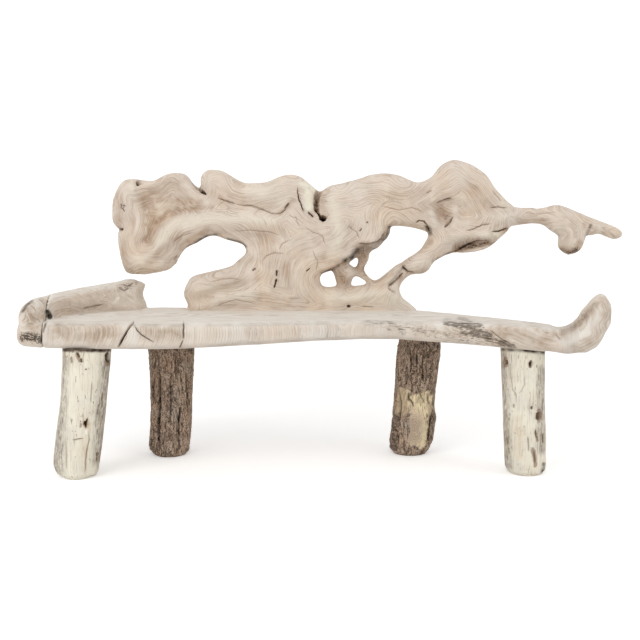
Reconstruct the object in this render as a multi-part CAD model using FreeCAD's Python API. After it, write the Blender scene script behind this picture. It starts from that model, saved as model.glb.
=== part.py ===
"""A rustic log bench: a live-edge plank on four log legs, with a natural root standing on it as the back.

Millimetres. X runs along the bench, Y from its front to its back, and Z up from the floor.
"""
import FreeCAD, Part
import math
import os

V = FreeCAD.Vector
UP = V(0, 0, 1)

# Seat plank
seat_height = 440.0
seat_length = 1675.0
seat_depth = 515.0
seat_thickness = 76.0
seat_edge_round = 24.0

# Raised rim and the end limb
rim_rise = 92.0
rim_width = 50.0
joint_inset = 92.0
joint_slew = 50.0
tongue_length = 84.0
tongue_width = 120.0
tongue_thickness = 16.0

# Back root
back_start = 169.0
back_overhang = 150.0
back_rise = 494.0
back_depth = 104.0
back_inset = 47.0
back_lean = 52.0

# Legs
leg_front_d = 132.0
leg_rear_d = 134.0
foot_wear = 9.0
tenon_d = 50.0
tenon_length = 40.0
tenon_root = 12.0
mortise_relief = 2.0
wedge_height = 30.0
wedge_thickness = 7.0
wedge_width = 42.0

# Coach screws that hold the root on the plank
screw_d = 12.0
screw_hole_d = 13.0
screw_bite = 84.0
screw_grip = 42.0
screw_inset = 43.0
head_width = 19.0
head_height = 8.0
counterbore_d = 32.0

overrun = 30.0

# From the root's left end to the tip of its arm, which reaches past the plank's end
back_span = seat_length + back_overhang - back_start

# How round a section is: 1 is an ellipse, and less is fuller at its corners
root_roundness_share = 0.80
rim_roundness_share = 0.90
log_roundness_share = 1.00
# The most of a plank's thickness or width that a round corner takes
edge_limit_share = 0.45

# Flat facets round one section and along one round corner
limb_sides = 16
log_sides = 24
corner_sides = 4

# Seat sections from left to right: along, top, bottom, front, back.
# Along is a share of the length, top and bottom of the thickness below the seat height,
# front and back of the depth.
seat_shares = [
    (0.000, 0.26, 0.88, 0.150, 0.530),
    (0.011, 0.04, 0.96, 0.075, 0.690),
    (0.130, 0.00, 1.02, 0.000, 0.965),
    (0.286, 0.00, 1.00, 0.000, 1.000),
    (0.513, 0.00, 0.81, 0.115, 1.000),
    (0.648, 0.02, 0.81, 0.186, 0.960),
    (0.841, 0.16, 1.06, 0.038, 0.440),
    (0.900, 0.24, 1.18, 0.006, 0.305),
]
# The horn's sections: inner point along and height, outer point along and height, front, back.
# Heights are shares of the thickness above or below the seat height.
horn_shares = [
    (0.924, -0.22, 0.922, -1.24, -0.024, 0.235),
    (0.942, 0.18, 0.967, -0.98, -0.046, 0.180),
    (0.960, 0.74, 0.988, 0.00, -0.044, 0.126),
    (0.972, 1.04, 0.990, 0.72, -0.016, 0.080),
]

# The rim's crest: along and across as shares of the seat, rise and half width as shares of the rim.
rim_shares = [
    (0.024, 0.060, 0.08, 0.42),
    (0.021, 0.190, 0.46, 0.62),
    (0.034, 0.560, 0.73, 0.98),
    (0.102, 0.850, 0.95, 0.98),
    (0.150, 0.925, 1.04, 0.86),
    (0.171, 0.938, 0.88, 0.40),
]

# The back root's limbs. Each row is one rung across a limb: two points of its outline, as shares
# along the span and up the rise, then its middle and its half thickness as shares of the depth.
wing_shares = [
    (0.006, 0.770, 0.006, 0.520, 0.05, 0.22),
    (0.032, 0.855, 0.027, 0.245, 0.04, 0.43),
    (0.086, 0.850, 0.084, 0.220, 0.03, 0.45),
    (0.128, 0.905, 0.122, 0.282, 0.02, 0.45),
    (0.160, 0.870, 0.156, 0.405, 0.01, 0.42),
    (0.176, 0.800, 0.178, 0.450, 0.00, 0.38),
    (0.188, 0.900, 0.192, 0.468, -0.01, 0.44),
    (0.210, 0.930, 0.214, 0.476, -0.02, 0.47),
    (0.266, 0.820, 0.268, 0.400, -0.05, 0.52),
    (0.366, 0.890, 0.366, 0.265, -0.05, 0.52),
    (0.412, 0.770, 0.414, 0.460, 0.00, 0.26),
]
forearm_shares = [
    (0.052, 0.350, 0.082, 0.262, -0.20, 0.22),
    (0.080, 0.466, 0.110, 0.352, -0.28, 0.32),
    (0.121, 0.572, 0.142, 0.432, -0.30, 0.35),
    (0.183, 0.630, 0.188, 0.484, -0.31, 0.36),
    (0.256, 0.650, 0.256, 0.472, -0.33, 0.36),
    (0.322, 0.636, 0.310, 0.445, -0.32, 0.34),
    (0.378, 0.500, 0.346, 0.366, -0.30, 0.24),
]
trunk_shares = [
    (0.286, 0.620, 0.410, 0.590, -0.03, 0.34),
    (0.265, 0.450, 0.454, 0.440, -0.09, 0.50),
    (0.245, 0.190, 0.424, 0.170, -0.08, 0.54),
    (0.236, -0.053, 0.440, -0.053, -0.04, 0.52),
]
left_foot_shares = [
    (0.145, 0.115, 0.148, 0.030, -0.06, 0.20),
    (0.154, 0.200, 0.158, -0.020, -0.06, 0.36),
    (0.200, 0.246, 0.200, -0.053, -0.06, 0.45),
    (0.290, 0.305, 0.290, -0.045, -0.05, 0.36),
]
right_foot_shares = [
    (0.408, 0.126, 0.408, -0.040, -0.02, 0.40),
    (0.545, 0.150, 0.555, -0.053, -0.02, 0.45),
    (0.576, 0.085, 0.594, -0.050, -0.02, 0.37),
    (0.592, 0.030, 0.608, -0.030, -0.02, 0.18),
]
loop_limb_shares = [
    (0.526, 0.040, 0.566, 0.020, 0.02, 0.34),
    (0.530, 0.180, 0.576, 0.113, 0.02, 0.42),
    (0.558, 0.255, 0.580, 0.175, 0.02, 0.40),
    (0.622, 0.400, 0.644, 0.300, 0.00, 0.43),
    (0.638, 0.530, 0.688, 0.410, -0.02, 0.42),
    (0.664, 0.620, 0.702, 0.550, -0.03, 0.26),
]
lobe_shares = [
    (0.444, 0.818, 0.530, 0.884, -0.08, 0.12),
    (0.425, 0.780, 0.549, 0.850, -0.09, 0.34),
    (0.418, 0.640, 0.556, 0.665, -0.14, 0.49),
    (0.428, 0.480, 0.550, 0.495, -0.14, 0.52),
    (0.445, 0.300, 0.500, 0.335, -0.06, 0.30),
]
head_and_arm_shares = [
    (0.508, 0.800, 0.517, 0.565, 0.06, 0.30),
    (0.556, 0.892, 0.562, 0.540, 0.05, 0.38),
    (0.612, 0.838, 0.616, 0.520, 0.03, 0.41),
    (0.654, 0.945, 0.662, 0.354, 0.00, 0.47),
    (0.684, 0.992, 0.692, 0.366, -0.05, 0.52),
    (0.724, 0.938, 0.730, 0.382, -0.04, 0.50),
    (0.774, 0.757, 0.777, 0.470, 0.01, 0.35),
    (0.802, 0.667, 0.800, 0.547, 0.01, 0.26),
    (0.862, 0.667, 0.862, 0.545, 0.00, 0.25),
    (0.888, 0.690, 0.888, 0.510, 0.00, 0.27),
    (0.952, 0.605, 0.956, 0.484, -0.04, 0.25),
    (1.012, 0.530, 1.010, 0.462, -0.06, 0.13),
]
fist_shares = [
    (0.886, 0.610, 0.932, 0.590, 0.01, 0.18),
    (0.878, 0.520, 0.944, 0.520, 0.02, 0.36),
    (0.886, 0.440, 0.942, 0.440, 0.02, 0.38),
    (0.898, 0.365, 0.926, 0.362, 0.02, 0.16),
]
twig_shares = [
    (0.442, 0.333, 0.488, 0.320, 0.16, 0.16),
    (0.450, 0.210, 0.476, 0.205, 0.15, 0.15),
    (0.444, 0.093, 0.482, 0.093, 0.12, 0.17),
]
hook_shares = [
    (0.500, 0.440, 0.522, 0.440, 0.10, 0.13),
    (0.485, 0.300, 0.508, 0.300, 0.12, 0.11),
    (0.494, 0.205, 0.514, 0.245, 0.14, 0.10),
    (0.528, 0.110, 0.542, 0.150, 0.10, 0.11),
]

# The dish that is worn into the front of the root's left wing
dish_shares = [
    (0.068, 0.800, 0.062, 0.640, -0.50, 0.10),
    (0.090, 0.815, 0.084, 0.600, -0.50, 0.22),
    (0.122, 0.822, 0.116, 0.640, -0.50, 0.21),
    (0.160, 0.780, 0.158, 0.650, -0.50, 0.12),
]

# Legs: the top and the foot of each one's axis, along the seat's length and across its depth.
leg_shares = {
    "leg_front_left": (0.1210, 0.136, 0.0955, 0.136),
    "leg_front_right": (0.8590, 0.204, 0.8645, 0.204),
    "leg_rear_left": (0.2380, 0.625, 0.2315, 0.625),
    "leg_rear_right": (0.6980, 0.650, 0.6850, 0.660),
}
# Sections down each log: height, then the width, the depth and the shift along the bench as shares of
# the log's diameter.
log_shares = {
    "leg_front_left": [
        (0.920, 1.040, 1.02, 0.018),
        (0.620, 1.020, 1.03, 0.011),
        (0.360, 1.010, 1.03, -0.015),
        (0.130, 1.030, 1.03, -0.033),
        (0.025, 1.000, 1.00, -0.030),
    ],
    "leg_front_right": [
        (0.920, 0.970, 0.97, -0.082),
        (0.570, 0.940, 0.99, -0.066),
        (0.280, 0.937, 0.97, -0.048),
        (0.025, 0.890, 0.95, -0.026),
    ],
    "leg_rear_left": [
        (0.920, 1.050, 1.02, -0.035),
        (0.630, 1.020, 1.04, -0.024),
        (0.310, 0.955, 1.02, -0.017),
        (0.060, 0.957, 0.96, -0.056),
        (0.020, 0.930, 0.93, -0.050),
    ],
    "leg_rear_right": [
        (0.920, 0.950, 0.98, -0.012),
        (0.700, 1.004, 0.98, -0.032),
        (0.360, 0.940, 0.99, -0.062),
        (0.250, 1.000, 1.00, -0.046),
        (0.090, 1.004, 0.96, -0.076),
        (0.025, 0.950, 0.93, -0.098),
    ],
}

# Places of the screws along the root, and of the end joint's tongue across the plank and down it
screw_shares = (0.215, 0.350, 0.535)
tongue_share = 0.28
tongue_drop_share = 0.48


def smoothed(rows):
    """The rows of a table with one more between each two, on a smooth curve through them all."""
    dense = []
    for i in range(len(rows) - 1):
        before = rows[max(i - 1, 0)]
        after = rows[min(i + 2, len(rows) - 1)]
        dense.append(rows[i])
        dense.append([(9 * (a + b) - p - q) / 16 for p, a, b, q in zip(before, rows[i], rows[i + 1], after)])
    return dense + [rows[-1]]


def round_ring(middle, along, across, roundness, sides):
    """Points round a section about its middle, from its two half axes."""
    points = []
    for i in range(sides):
        turn = 2 * math.pi * i / sides
        c, s = math.cos(turn), math.sin(turn)
        point = middle + along * math.copysign(abs(c) ** roundness, c)
        points.append(point + across * math.copysign(abs(s) ** roundness, s))
    return points


def plank_ring(inner, outer, front, back):
    """Points round a rectangle with round corners, from the middles of its top and bottom and its two edges."""
    down = outer - inner
    thick = down.Length
    down.normalize()
    radius = min(seat_edge_round, thick * edge_limit_share, (back - front) * edge_limit_share)
    centres = [(back, -radius, radius), (back, -radius, thick - radius)]
    centres += [(front, radius, thick - radius), (front, radius, radius)]
    points = []
    for corner, (edge, inset, depth) in enumerate(centres):
        for i in range(corner_sides + 1):
            turn = math.pi / 2 * (corner - 1 + i / corner_sides)
            y = edge + inset + radius * math.cos(turn)
            points.append(V(inner.x, y, inner.z) + down * (depth + radius * math.sin(turn)))
    return points


def faceted(rings):
    """A closed solid of flat triangles through rings of equally many points, with flat ends."""
    loops = [rings[0], rings[-1]]
    for ring, following in zip(rings, rings[1:]):
        for i in range(len(ring)):
            j = (i + 1) % len(ring)
            loops.append([ring[i], ring[j], following[j]])
            loops.append([ring[i], following[j], following[i]])
    shell = Part.Shell([Part.Face(Part.makePolygon(loop + loop[:1])) for loop in loops])
    shell.sewShape()
    solid = Part.Solid(shell)
    if solid.Volume < 0:
        solid.reverse()
    return solid


def joined(solids):
    whole = solids[0]
    for solid in solids[1:]:
        whole = whole.fuse(solid)
    return whole


def back_point(along, up):
    """A point on the middle sheet of the back root, which leans away from the sitter."""
    x = back_start + along * back_span
    z = seat_height + up * back_rise
    return V(x, seat_depth - back_inset + up * back_lean, z)


def root_limb(rungs):
    rings = []
    for a_along, a_up, b_along, b_up, middle, half in smoothed(rungs):
        a = back_point(a_along, a_up)
        b = back_point(b_along, b_up)
        centre = (a + b) / 2 + V(0, middle * back_depth, 0)
        across = V(0, half * back_depth, 0)
        rings.append(round_ring(centre, (b - a) / 2, across, root_roundness_share, limb_sides))
    return faceted(rings)


def seat_point(along, across, rise):
    return V(along * seat_length, across * seat_depth, seat_height + rise)


def make_plank():
    """The plank and its horn as one solid, before anything is cut in it."""
    level = [(along, -top, along, -bottom, front, back) for along, top, bottom, front, back in seat_shares]
    rings = []
    for a_along, a_rise, b_along, b_rise, front, back in smoothed(level + horn_shares):
        inner = seat_point(a_along, 0, a_rise * seat_thickness)
        outer = seat_point(b_along, 0, b_rise * seat_thickness)
        rings.append(plank_ring(inner, outer, front * seat_depth, back * seat_depth))
    return faceted(rings)


def make_rim():
    """The raised rim round the back left of the seat."""
    rows = smoothed(rim_shares)
    crest = [seat_point(along, across, rise * rim_rise) for along, across, rise, half in rows]
    rings = []
    for i, point in enumerate(crest):
        ahead = crest[min(i + 1, len(crest) - 1)]
        behind = crest[max(i - 1, 0)]
        way = V(ahead.x - behind.x, ahead.y - behind.y, 0)
        way.normalize()
        half_width = UP.cross(way) * (rows[i][3] * rim_width)
        foot = seat_height - seat_thickness / 2
        half_rise = UP * ((point.z - foot) / 2)
        rings.append(round_ring(point - half_rise, half_rise, half_width, rim_roundness_share, limb_sides))
    return faceted(rings)


def joint_frame():
    """A point on the joint at the seat's front edge, the joint's line in plan and its normal."""
    start = seat_point(0, 0, 0) + V(joint_inset, 0, 0)
    line = V(-joint_slew, seat_depth / 2, 0)
    line.normalize()
    return start, line, V(line.y, -line.x, 0)


def end_block():
    """All the space to the left of the joint."""
    start, line, normal = joint_frame()
    reach = seat_length
    corners = [start - line * reach, start + line * reach]
    corners.append(corners[1] - normal * reach)
    corners.append(corners[0] - normal * reach)
    corners.append(corners[0])
    face = Part.Face(Part.makePolygon(corners))
    face.translate(V(0, 0, -seat_height))
    return face.extrude(V(0, 0, seat_height + reach))


def make_tongue():
    """A loose tongue, half of it in the end limb and half in the plank."""
    start, line, normal = joint_frame()
    middle = start + line * (tongue_share * seat_depth) - UP * (tongue_drop_share * seat_thickness)
    reach = normal * (tongue_length / 2)
    side = line * (tongue_width / 2)
    corners = [middle - reach - side, middle + reach - side, middle + reach + side, middle - reach + side]
    face = Part.Face(Part.makePolygon(corners + corners[:1]))
    face.translate(UP * (-tongue_thickness / 2))
    return face.extrude(UP * tongue_thickness)


def leg_axis(name):
    """The middle of a leg's foot and of its top at the seat height."""
    top_along, top_across, foot_along, foot_across = leg_shares[name]
    top = seat_point(top_along, top_across, 0)
    foot = seat_point(foot_along, foot_across, -seat_height)
    return foot, top


def leg_log(name, girth):
    """A log from the floor to inside the plank, with the edge of its foot worn round."""
    foot, top = leg_axis(name)
    rows = smoothed(log_shares[name])
    rings = []
    for height, width, depth, aside in rows + [(0, *rows[-1][1:])]:
        middle = foot + (top - foot) * height + V(aside * girth, 0, 0)
        wear = foot_wear if height == 0 else 0
        along = V(width * girth / 2 - wear, 0, 0)
        across = V(0, depth * girth / 2 - wear, 0)
        rings.append(round_ring(middle, along, across, log_roundness_share, log_sides))
    return faceted(rings)


def tenon_place(name, plank):
    """Where the leg's axis meets the underside of the plank, and the axis itself."""
    foot, top = leg_axis(name)
    line = Part.makeLine(foot, top)
    outside = line.cut(plank)
    axis = top - foot
    axis.normalize()
    lowest = min(outside.Edges, key=lambda edge: edge.BoundBox.ZMin)
    return foot + axis * lowest.Length, axis


def make_wedge(place, axis):
    """A thin wedge driven into the end of a tenon, thick end up."""
    side = V(0, 1, 0).cross(axis)
    side.normalize()
    front = V(0, -1, 0)
    tip = place + axis * (tenon_length - wedge_height)
    head = place + axis * tenon_length
    corners = [tip, head + side * (wedge_thickness / 2), head - side * (wedge_thickness / 2), tip]
    face = Part.Face(Part.makePolygon(corners))
    face.translate(front * (wedge_width / 2))
    return face.extrude(-front * wedge_width)


def make_screw(place):
    """A coach screw up from a place on its axis, with its hexagon head below that place."""
    reach = head_width / math.sqrt(3)
    turns = [math.pi * i / 3 for i in range(6)]
    corners = [place + V(math.cos(turn) * reach, math.sin(turn) * reach, 0) for turn in turns]
    head = Part.Face(Part.makePolygon(corners + corners[:1])).extrude(UP * -head_height)
    return head.fuse(Part.makeCylinder(screw_d / 2, screw_grip + screw_bite, place, UP))


# The plank with its rim, and the joint that parts the end limb from it
plank = make_plank()
seat_blank = plank.fuse(make_rim())
tongue = make_tongue()
left_side = end_block()
end_limb = seat_blank.common(left_side).cut(tongue)
seat_slab = seat_blank.cut(left_side).cut(tongue)

# The root, with its worn dish, scribed to the top of the plank
back_tables = [
    forearm_shares, trunk_shares, left_foot_shares, right_foot_shares, loop_limb_shares,
    lobe_shares, head_and_arm_shares, fist_shares, twig_shares, hook_shares,
]
wing = root_limb(wing_shares).cut(root_limb(dish_shares))
back_root = joined([wing] + [root_limb(rungs) for rungs in back_tables]).cut(seat_blank)

# Coach screws up through the plank into the root, their heads in counterbores
screws = []
for share in screw_shares:
    place = V(back_start + share * back_span, seat_depth - screw_inset, seat_height - screw_grip)
    screw = make_screw(place)
    hole = Part.makeCylinder(screw_hole_d / 2, screw_grip + overrun, place, UP)
    bore = Part.makeCylinder(counterbore_d / 2, seat_thickness + overrun, place, -UP)
    seat_slab = seat_slab.cut(bore.fuse(hole))
    back_root = back_root.cut(screw)
    screws.append(screw)

# Legs, each scribed to the underside and tenoned into a blind mortise with a wedge in its end
legs = {}
wedges = []
for name in leg_shares:
    girth = leg_front_d if "front" in name else leg_rear_d
    place, axis = tenon_place(name, seat_blank)
    wedge = make_wedge(place, axis)
    start = place - axis * tenon_root
    tenon = Part.makeCylinder(tenon_d / 2, tenon_root + tenon_length, start, axis)
    mortise_length = tenon_root + tenon_length + mortise_relief
    mortise = Part.makeCylinder(tenon_d / 2, mortise_length, start, axis)
    log = leg_log(name, girth).cut(seat_blank)
    legs[name] = log.fuse(tenon).cut(wedge)
    seat_slab = seat_slab.cut(mortise)
    wedges.append(wedge)

nodes = {
    "seat_slab": seat_slab,
    "end_limb": end_limb,
    "back_root": back_root,
    "leg_wedges": Part.makeCompound(wedges),
    "back_screws": Part.makeCompound(screws),
    "end_tongue": tongue,
}
nodes.update(legs)

# The origin goes under the middle of the whole bench
box = Part.makeCompound(list(nodes.values())).optimalBoundingBox(False, False)
shift = V(-(box.XMin + box.XMax) / 2, -(box.YMin + box.YMax) / 2, -box.ZMin)

os.makedirs("parts", exist_ok=True)
for name, shape in nodes.items():
    shape.translate(shift)
    shape.exportStep("parts/" + name + ".step")
    sizes = shape.optimalBoundingBox(False, False)
    print(name, "solids", len(shape.Solids), "valid", shape.isValid(), "litres", round(shape.Volume / 1e6, 3),
          "box", [round(v) for v in (sizes.XMin, sizes.YMin, sizes.ZMin, sizes.XMax, sizes.YMax, sizes.ZMax)])
print("whole", round(box.XLength), round(box.YLength), round(box.ZLength), "shift", [round(c, 1) for c in shift])
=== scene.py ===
"""Rustic log bench: carved wood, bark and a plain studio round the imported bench."""
import math
from contextlib import contextmanager

import bmesh
import bpy
import numpy as np
from bpy.props import FloatProperty, FloatVectorProperty, IntProperty, PointerProperty
from bpy.types import Operator, Panel, PropertyGroup
from mathutils.bvhtree import BVHTree
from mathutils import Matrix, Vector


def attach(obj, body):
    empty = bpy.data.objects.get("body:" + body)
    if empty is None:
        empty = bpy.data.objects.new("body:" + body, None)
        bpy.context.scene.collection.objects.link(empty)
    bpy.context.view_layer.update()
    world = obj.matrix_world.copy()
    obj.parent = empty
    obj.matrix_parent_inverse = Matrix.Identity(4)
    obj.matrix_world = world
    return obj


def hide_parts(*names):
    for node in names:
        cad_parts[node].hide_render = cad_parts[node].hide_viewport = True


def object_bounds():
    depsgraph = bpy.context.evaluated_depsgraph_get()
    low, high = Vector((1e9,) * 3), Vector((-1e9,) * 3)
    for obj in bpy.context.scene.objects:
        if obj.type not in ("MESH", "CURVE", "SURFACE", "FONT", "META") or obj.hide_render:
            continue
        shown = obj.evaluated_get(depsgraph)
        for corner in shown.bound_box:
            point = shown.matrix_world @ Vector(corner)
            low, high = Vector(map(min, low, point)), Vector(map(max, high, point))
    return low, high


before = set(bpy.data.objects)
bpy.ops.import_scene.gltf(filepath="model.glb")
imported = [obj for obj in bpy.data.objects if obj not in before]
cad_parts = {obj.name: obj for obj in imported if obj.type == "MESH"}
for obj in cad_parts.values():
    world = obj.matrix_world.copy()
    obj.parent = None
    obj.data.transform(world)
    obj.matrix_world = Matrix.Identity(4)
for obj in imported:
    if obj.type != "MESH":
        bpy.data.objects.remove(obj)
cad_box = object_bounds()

bl_info = {
    "name": "Rustic Log Bench",
    "version": (1, 0),
    "blender": (4, 5, 0),
    "location": "View3D > Sidebar > Bench",
    "description": "Carves and finishes a live-edge bench with a root for its back",
    "category": "Add Mesh",
}

# The seat's height, and the root on it: its foot's middle, its lean, half its depth and its feet's bedding
SEAT_TOP = 0.440
ROOT_FOOT_Y = 0.2022
ROOT_LEAN = 0.052 / 0.494
ROOT_REACH = 0.050
FOOT_BED = 0.010

# How the root's board swells: its coarser grid, the discs' spacing, its fullness and where a limb is thin
BOARD_GRID = 1.15
DISC_STEP = 0.005
ROOT_FULLNESS = 1.05
THIN_LIMB = 0.045
TWIG_LINE = [(362, 254), (360, 268), (345, 270), (344, 284)]
TWIG_WIDTH = 15
TWIG_SETBACK = 0.020
BACK_FOLDS = 0.013

# How far carved pieces stay inside the CAD's box, how close joined vertices lie, and the most triangles
BOX_MARGIN = 0.0004
WELD = 1e-5
MOST_TRIANGLES = 190000

# A log's shoulder: where it begins, how far it bites and rises, how far it stays behind the plank's front,
# the band in which its relief fades, and where the plank is felt from, below it and before it
SHOULDER = 0.320
SHOULDER_BITE = 0.002
SHOULDER_RISE = 0.004
FRONT_GAP = 0.004
SHOULDER_BAND = (-0.360, -0.330)
BELOW_PLANK = 0.2
BEFORE_PLANK = -0.6

# A log's bark area follows from its radius and height
LOG_RADIUS = 0.066
LOG_HEIGHT = 0.35

# Where bark flakes lie, and how far the bark may have come away there
FLAKES_FROM = 0.012
FLAKES_TO = 0.34
FLAKES_BARE = 0.2

# The photograph's camera, for a picture 640 pixels wide and high
CAMERA_PLACE = np.array((-0.0674, -2.700, 0.680))
CAMERA_PITCH = math.radians(5.41)
CAMERA_FOCAL = 897.0
PICTURE = 640.0
SENSOR = 36.0

# How far a surface may turn from the camera and still be carved, and fully so from which turn
TURNED_AWAY = -0.05
FULLY_SEEN = 0.25

# A crack's open half width beside the width in its row, how far its line wanders in pixels, the share of
# its length over which it tapers, and how far from it, in half widths, it is noted and looked for
CRACK_SHARE = 0.34
CRACK_WANDER = 0.6
CRACK_TAPER = 0.22
CRACK_REACH = 4.0
CRACK_SEARCH = 5

# Smoothing steps in and out, so that a smoothed piece keeps its size
STEP_IN = 0.5
STEP_OUT = -0.52

# Whole numbers that mix a cell's place into a steady random value
CELL_MIX = (73856093, 19349663, 83492791)
SEED_MIX = 2654435761
LAST_MIX = 1274126177
FAR = 1e9

# The studio: the floor's front, its back, the cove's radius and steps, the wall's height and half the width
FLOOR_FRONT = -9.0
FLOOR_BACK = 2.6
COVE = 1.5
COVE_STEPS = 12
WALL_TOP = 7.0
HALF_WIDTH = 9.0
FLOOR_GLOW = 0.30

# The lamps: where they stand, what they point at, their share of the key light's power, and their size
LAMPS = {
    "Key": ((-2.6, -3.2, 3.4), (0.0, 0.0, 0.5), 1.0, (2.6, 2.0)),
    "Side": ((3.6, -2.0, 2.4), (0.0, 0.0, 0.4), 0.35, (2.0, 2.0)),
}


def shade(red, green, blue):
    """A colour written from 0 to 255, as the linear values that Blender's sockets hold."""
    values = []
    for value in (red, green, blue):
        part = value / 255
        values.append(part / 12.92 if part <= 0.04045 else ((part + 0.055) / 1.055) ** 2.4)
    return tuple(values)


# Outlines in picture pixels

ROOT_OUTLINE = [
    (112.5, 213), (113, 207), (114, 200), (115.3, 194), (118, 188), (121, 183.4), (125, 180.6),
    (129, 179.4), (137, 179.4), (144, 180.6), (151, 181.2), (155, 180.8), (160, 178), (165, 175.5),
    (170, 173.5), (176, 172.4), (183, 173.2), (188, 175.8), (190.6, 179.2), (192.2, 182.8), (197.8, 187.2),
    (200.2, 190.2), (200.6, 186), (200.6, 179), (202.4, 174.6), (206, 171), (210, 169.6), (220, 170),
    (224, 171), (230, 174.5), (235, 178), (240, 181), (245, 182.8), (251, 183), (258, 182.5), (265, 182.3),
    (270, 181.2), (275, 179), (280, 177), (286, 175.2), (293, 174.8), (300, 176.5), (305, 179.5),
    (310, 183.5), (315, 187.5), (319.6, 191.6), (322, 190.6), (325, 188), (330, 185.5), (335, 184.3),
    (345, 182.5), (352, 180.6), (360, 178.2), (370, 175), (380, 173.5), (390, 173.8), (400, 176.3),
    (405, 178.5), (410, 180.5), (415, 181.9), (420, 181.8), (425, 180.5), (430, 178), (433, 175.5),
    (435.6, 172), (438, 168.6), (441, 165), (445, 162), (450, 159.8), (455, 159), (461, 160), (470, 163.8),
    (475, 166.5), (480, 169.8), (485, 173.6), (488, 177), (490, 180), (492, 184), (494.5, 188.5),
    (500, 195), (505, 200), (510, 204), (514, 207.8), (522, 208), (530, 207.5), (537, 208.2), (545, 206.8),
    (550, 205.2), (555, 204.4), (560, 204.8), (565, 206.4), (575, 210.8), (585, 215.4), (600, 220.5),
    (610, 224.5), (620, 229), (623.2, 232.6), (622.4, 236), (619, 238.2), (614, 239.4), (605, 236.5),
    (600, 234.2), (597, 234), (591, 235.6), (586.4, 235), (585, 238), (584, 242), (582.5, 246),
    (580.5, 250.5), (575, 253.2), (568, 255.4), (564, 253), (560, 250), (557.6, 247), (557.4, 243),
    (559, 236), (555, 232.8), (550, 229.8), (545, 226.2), (540, 224.2), (530, 223.5), (520, 224.4),
    (510.5, 226.2), (509, 229.2), (505, 233.5), (500, 237.7), (495, 242.5), (490, 246.5), (484, 249.8),
    (475, 251.6), (465, 252.5), (455, 252.7), (450, 254), (445, 255.6), (440, 258), (434, 261.4),
    (431, 265.4), (429, 269), (425, 272), (421, 273.5), (411, 274.2), (407.6, 276), (405, 278.4),
    (402, 282), (399.6, 286), (399, 289), (400, 292.6), (401.6, 296.6), (405, 300), (410, 303.4),
    (416.5, 309.5), (420, 322), (183, 322), (186.3, 308), (188, 305), (186, 301), (184, 298), (183, 294),
    (184.6, 288), (187, 283), (190, 278.4), (195, 275.6), (200, 274.1), (210, 272), (218, 270), (225, 268),
    (229.5, 266.4), (233.5, 264.4), (238, 260.4), (242, 257), (245.2, 253.8), (246, 250), (245, 246.6),
    (243, 244.6), (235, 241.6), (226, 239.4), (220, 237), (215, 235.6), (210, 235.9), (205, 237.6),
    (200, 240.8), (195, 243.4), (189, 246), (185, 248.4), (181.6, 252.4), (179, 257), (177, 261),
    (175, 265), (172, 268), (168, 270), (160, 272), (145, 274), (134, 274.1), (128.5, 273.5),
    (125.4, 271.6), (123.8, 267), (122.4, 262), (121, 256), (120, 249.5), (119, 243), (117.6, 236.5),
    (117.4, 232.6), (120.6, 229.9), (117, 228), (114.6, 225.4), (113, 222), (112.3, 218),
]
ROOT_WINDOWS = [
    [(390, 227), (393, 225.8), (401, 226), (410, 226.8), (419, 228.6), (425, 230.2), (428.6, 233),
     (428, 237), (426.4, 241), (423.6, 245.4), (420, 249.8), (415, 253.4), (408, 257.8), (400, 263),
     (395, 266.5), (390, 270.5), (385, 274.2), (380, 278), (374.6, 280.6), (370, 277.6), (366.4, 273.6),
     (364.2, 270), (364.6, 267), (367, 262.6), (368.8, 257.6), (368.8, 252.6), (371.6, 250.2), (377, 248),
     (382, 244), (387, 238.6), (389.6, 232.6)],
    [(321.2, 273.4), (326, 272), (331.6, 270.2), (334.2, 275.4), (335.6, 280.6), (337, 286), (329.2, 287),
     (323, 286.2), (320.2, 282.4), (319.4, 277.4)],
    [(346, 265), (349, 262.6), (352.4, 260.4), (357.4, 256.4), (358.6, 260), (357.6, 265), (355, 268.4),
     (353, 266.6), (350.8, 264.6)],
    [(350.8, 286.4), (351.4, 282), (352.4, 279), (355.2, 276), (359.8, 277.4), (364.6, 281), (367.2, 283.6),
     (360, 285.4)],
]
ROOT_LOOPS = [ROOT_OUTLINE, *ROOT_WINDOWS]

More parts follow.
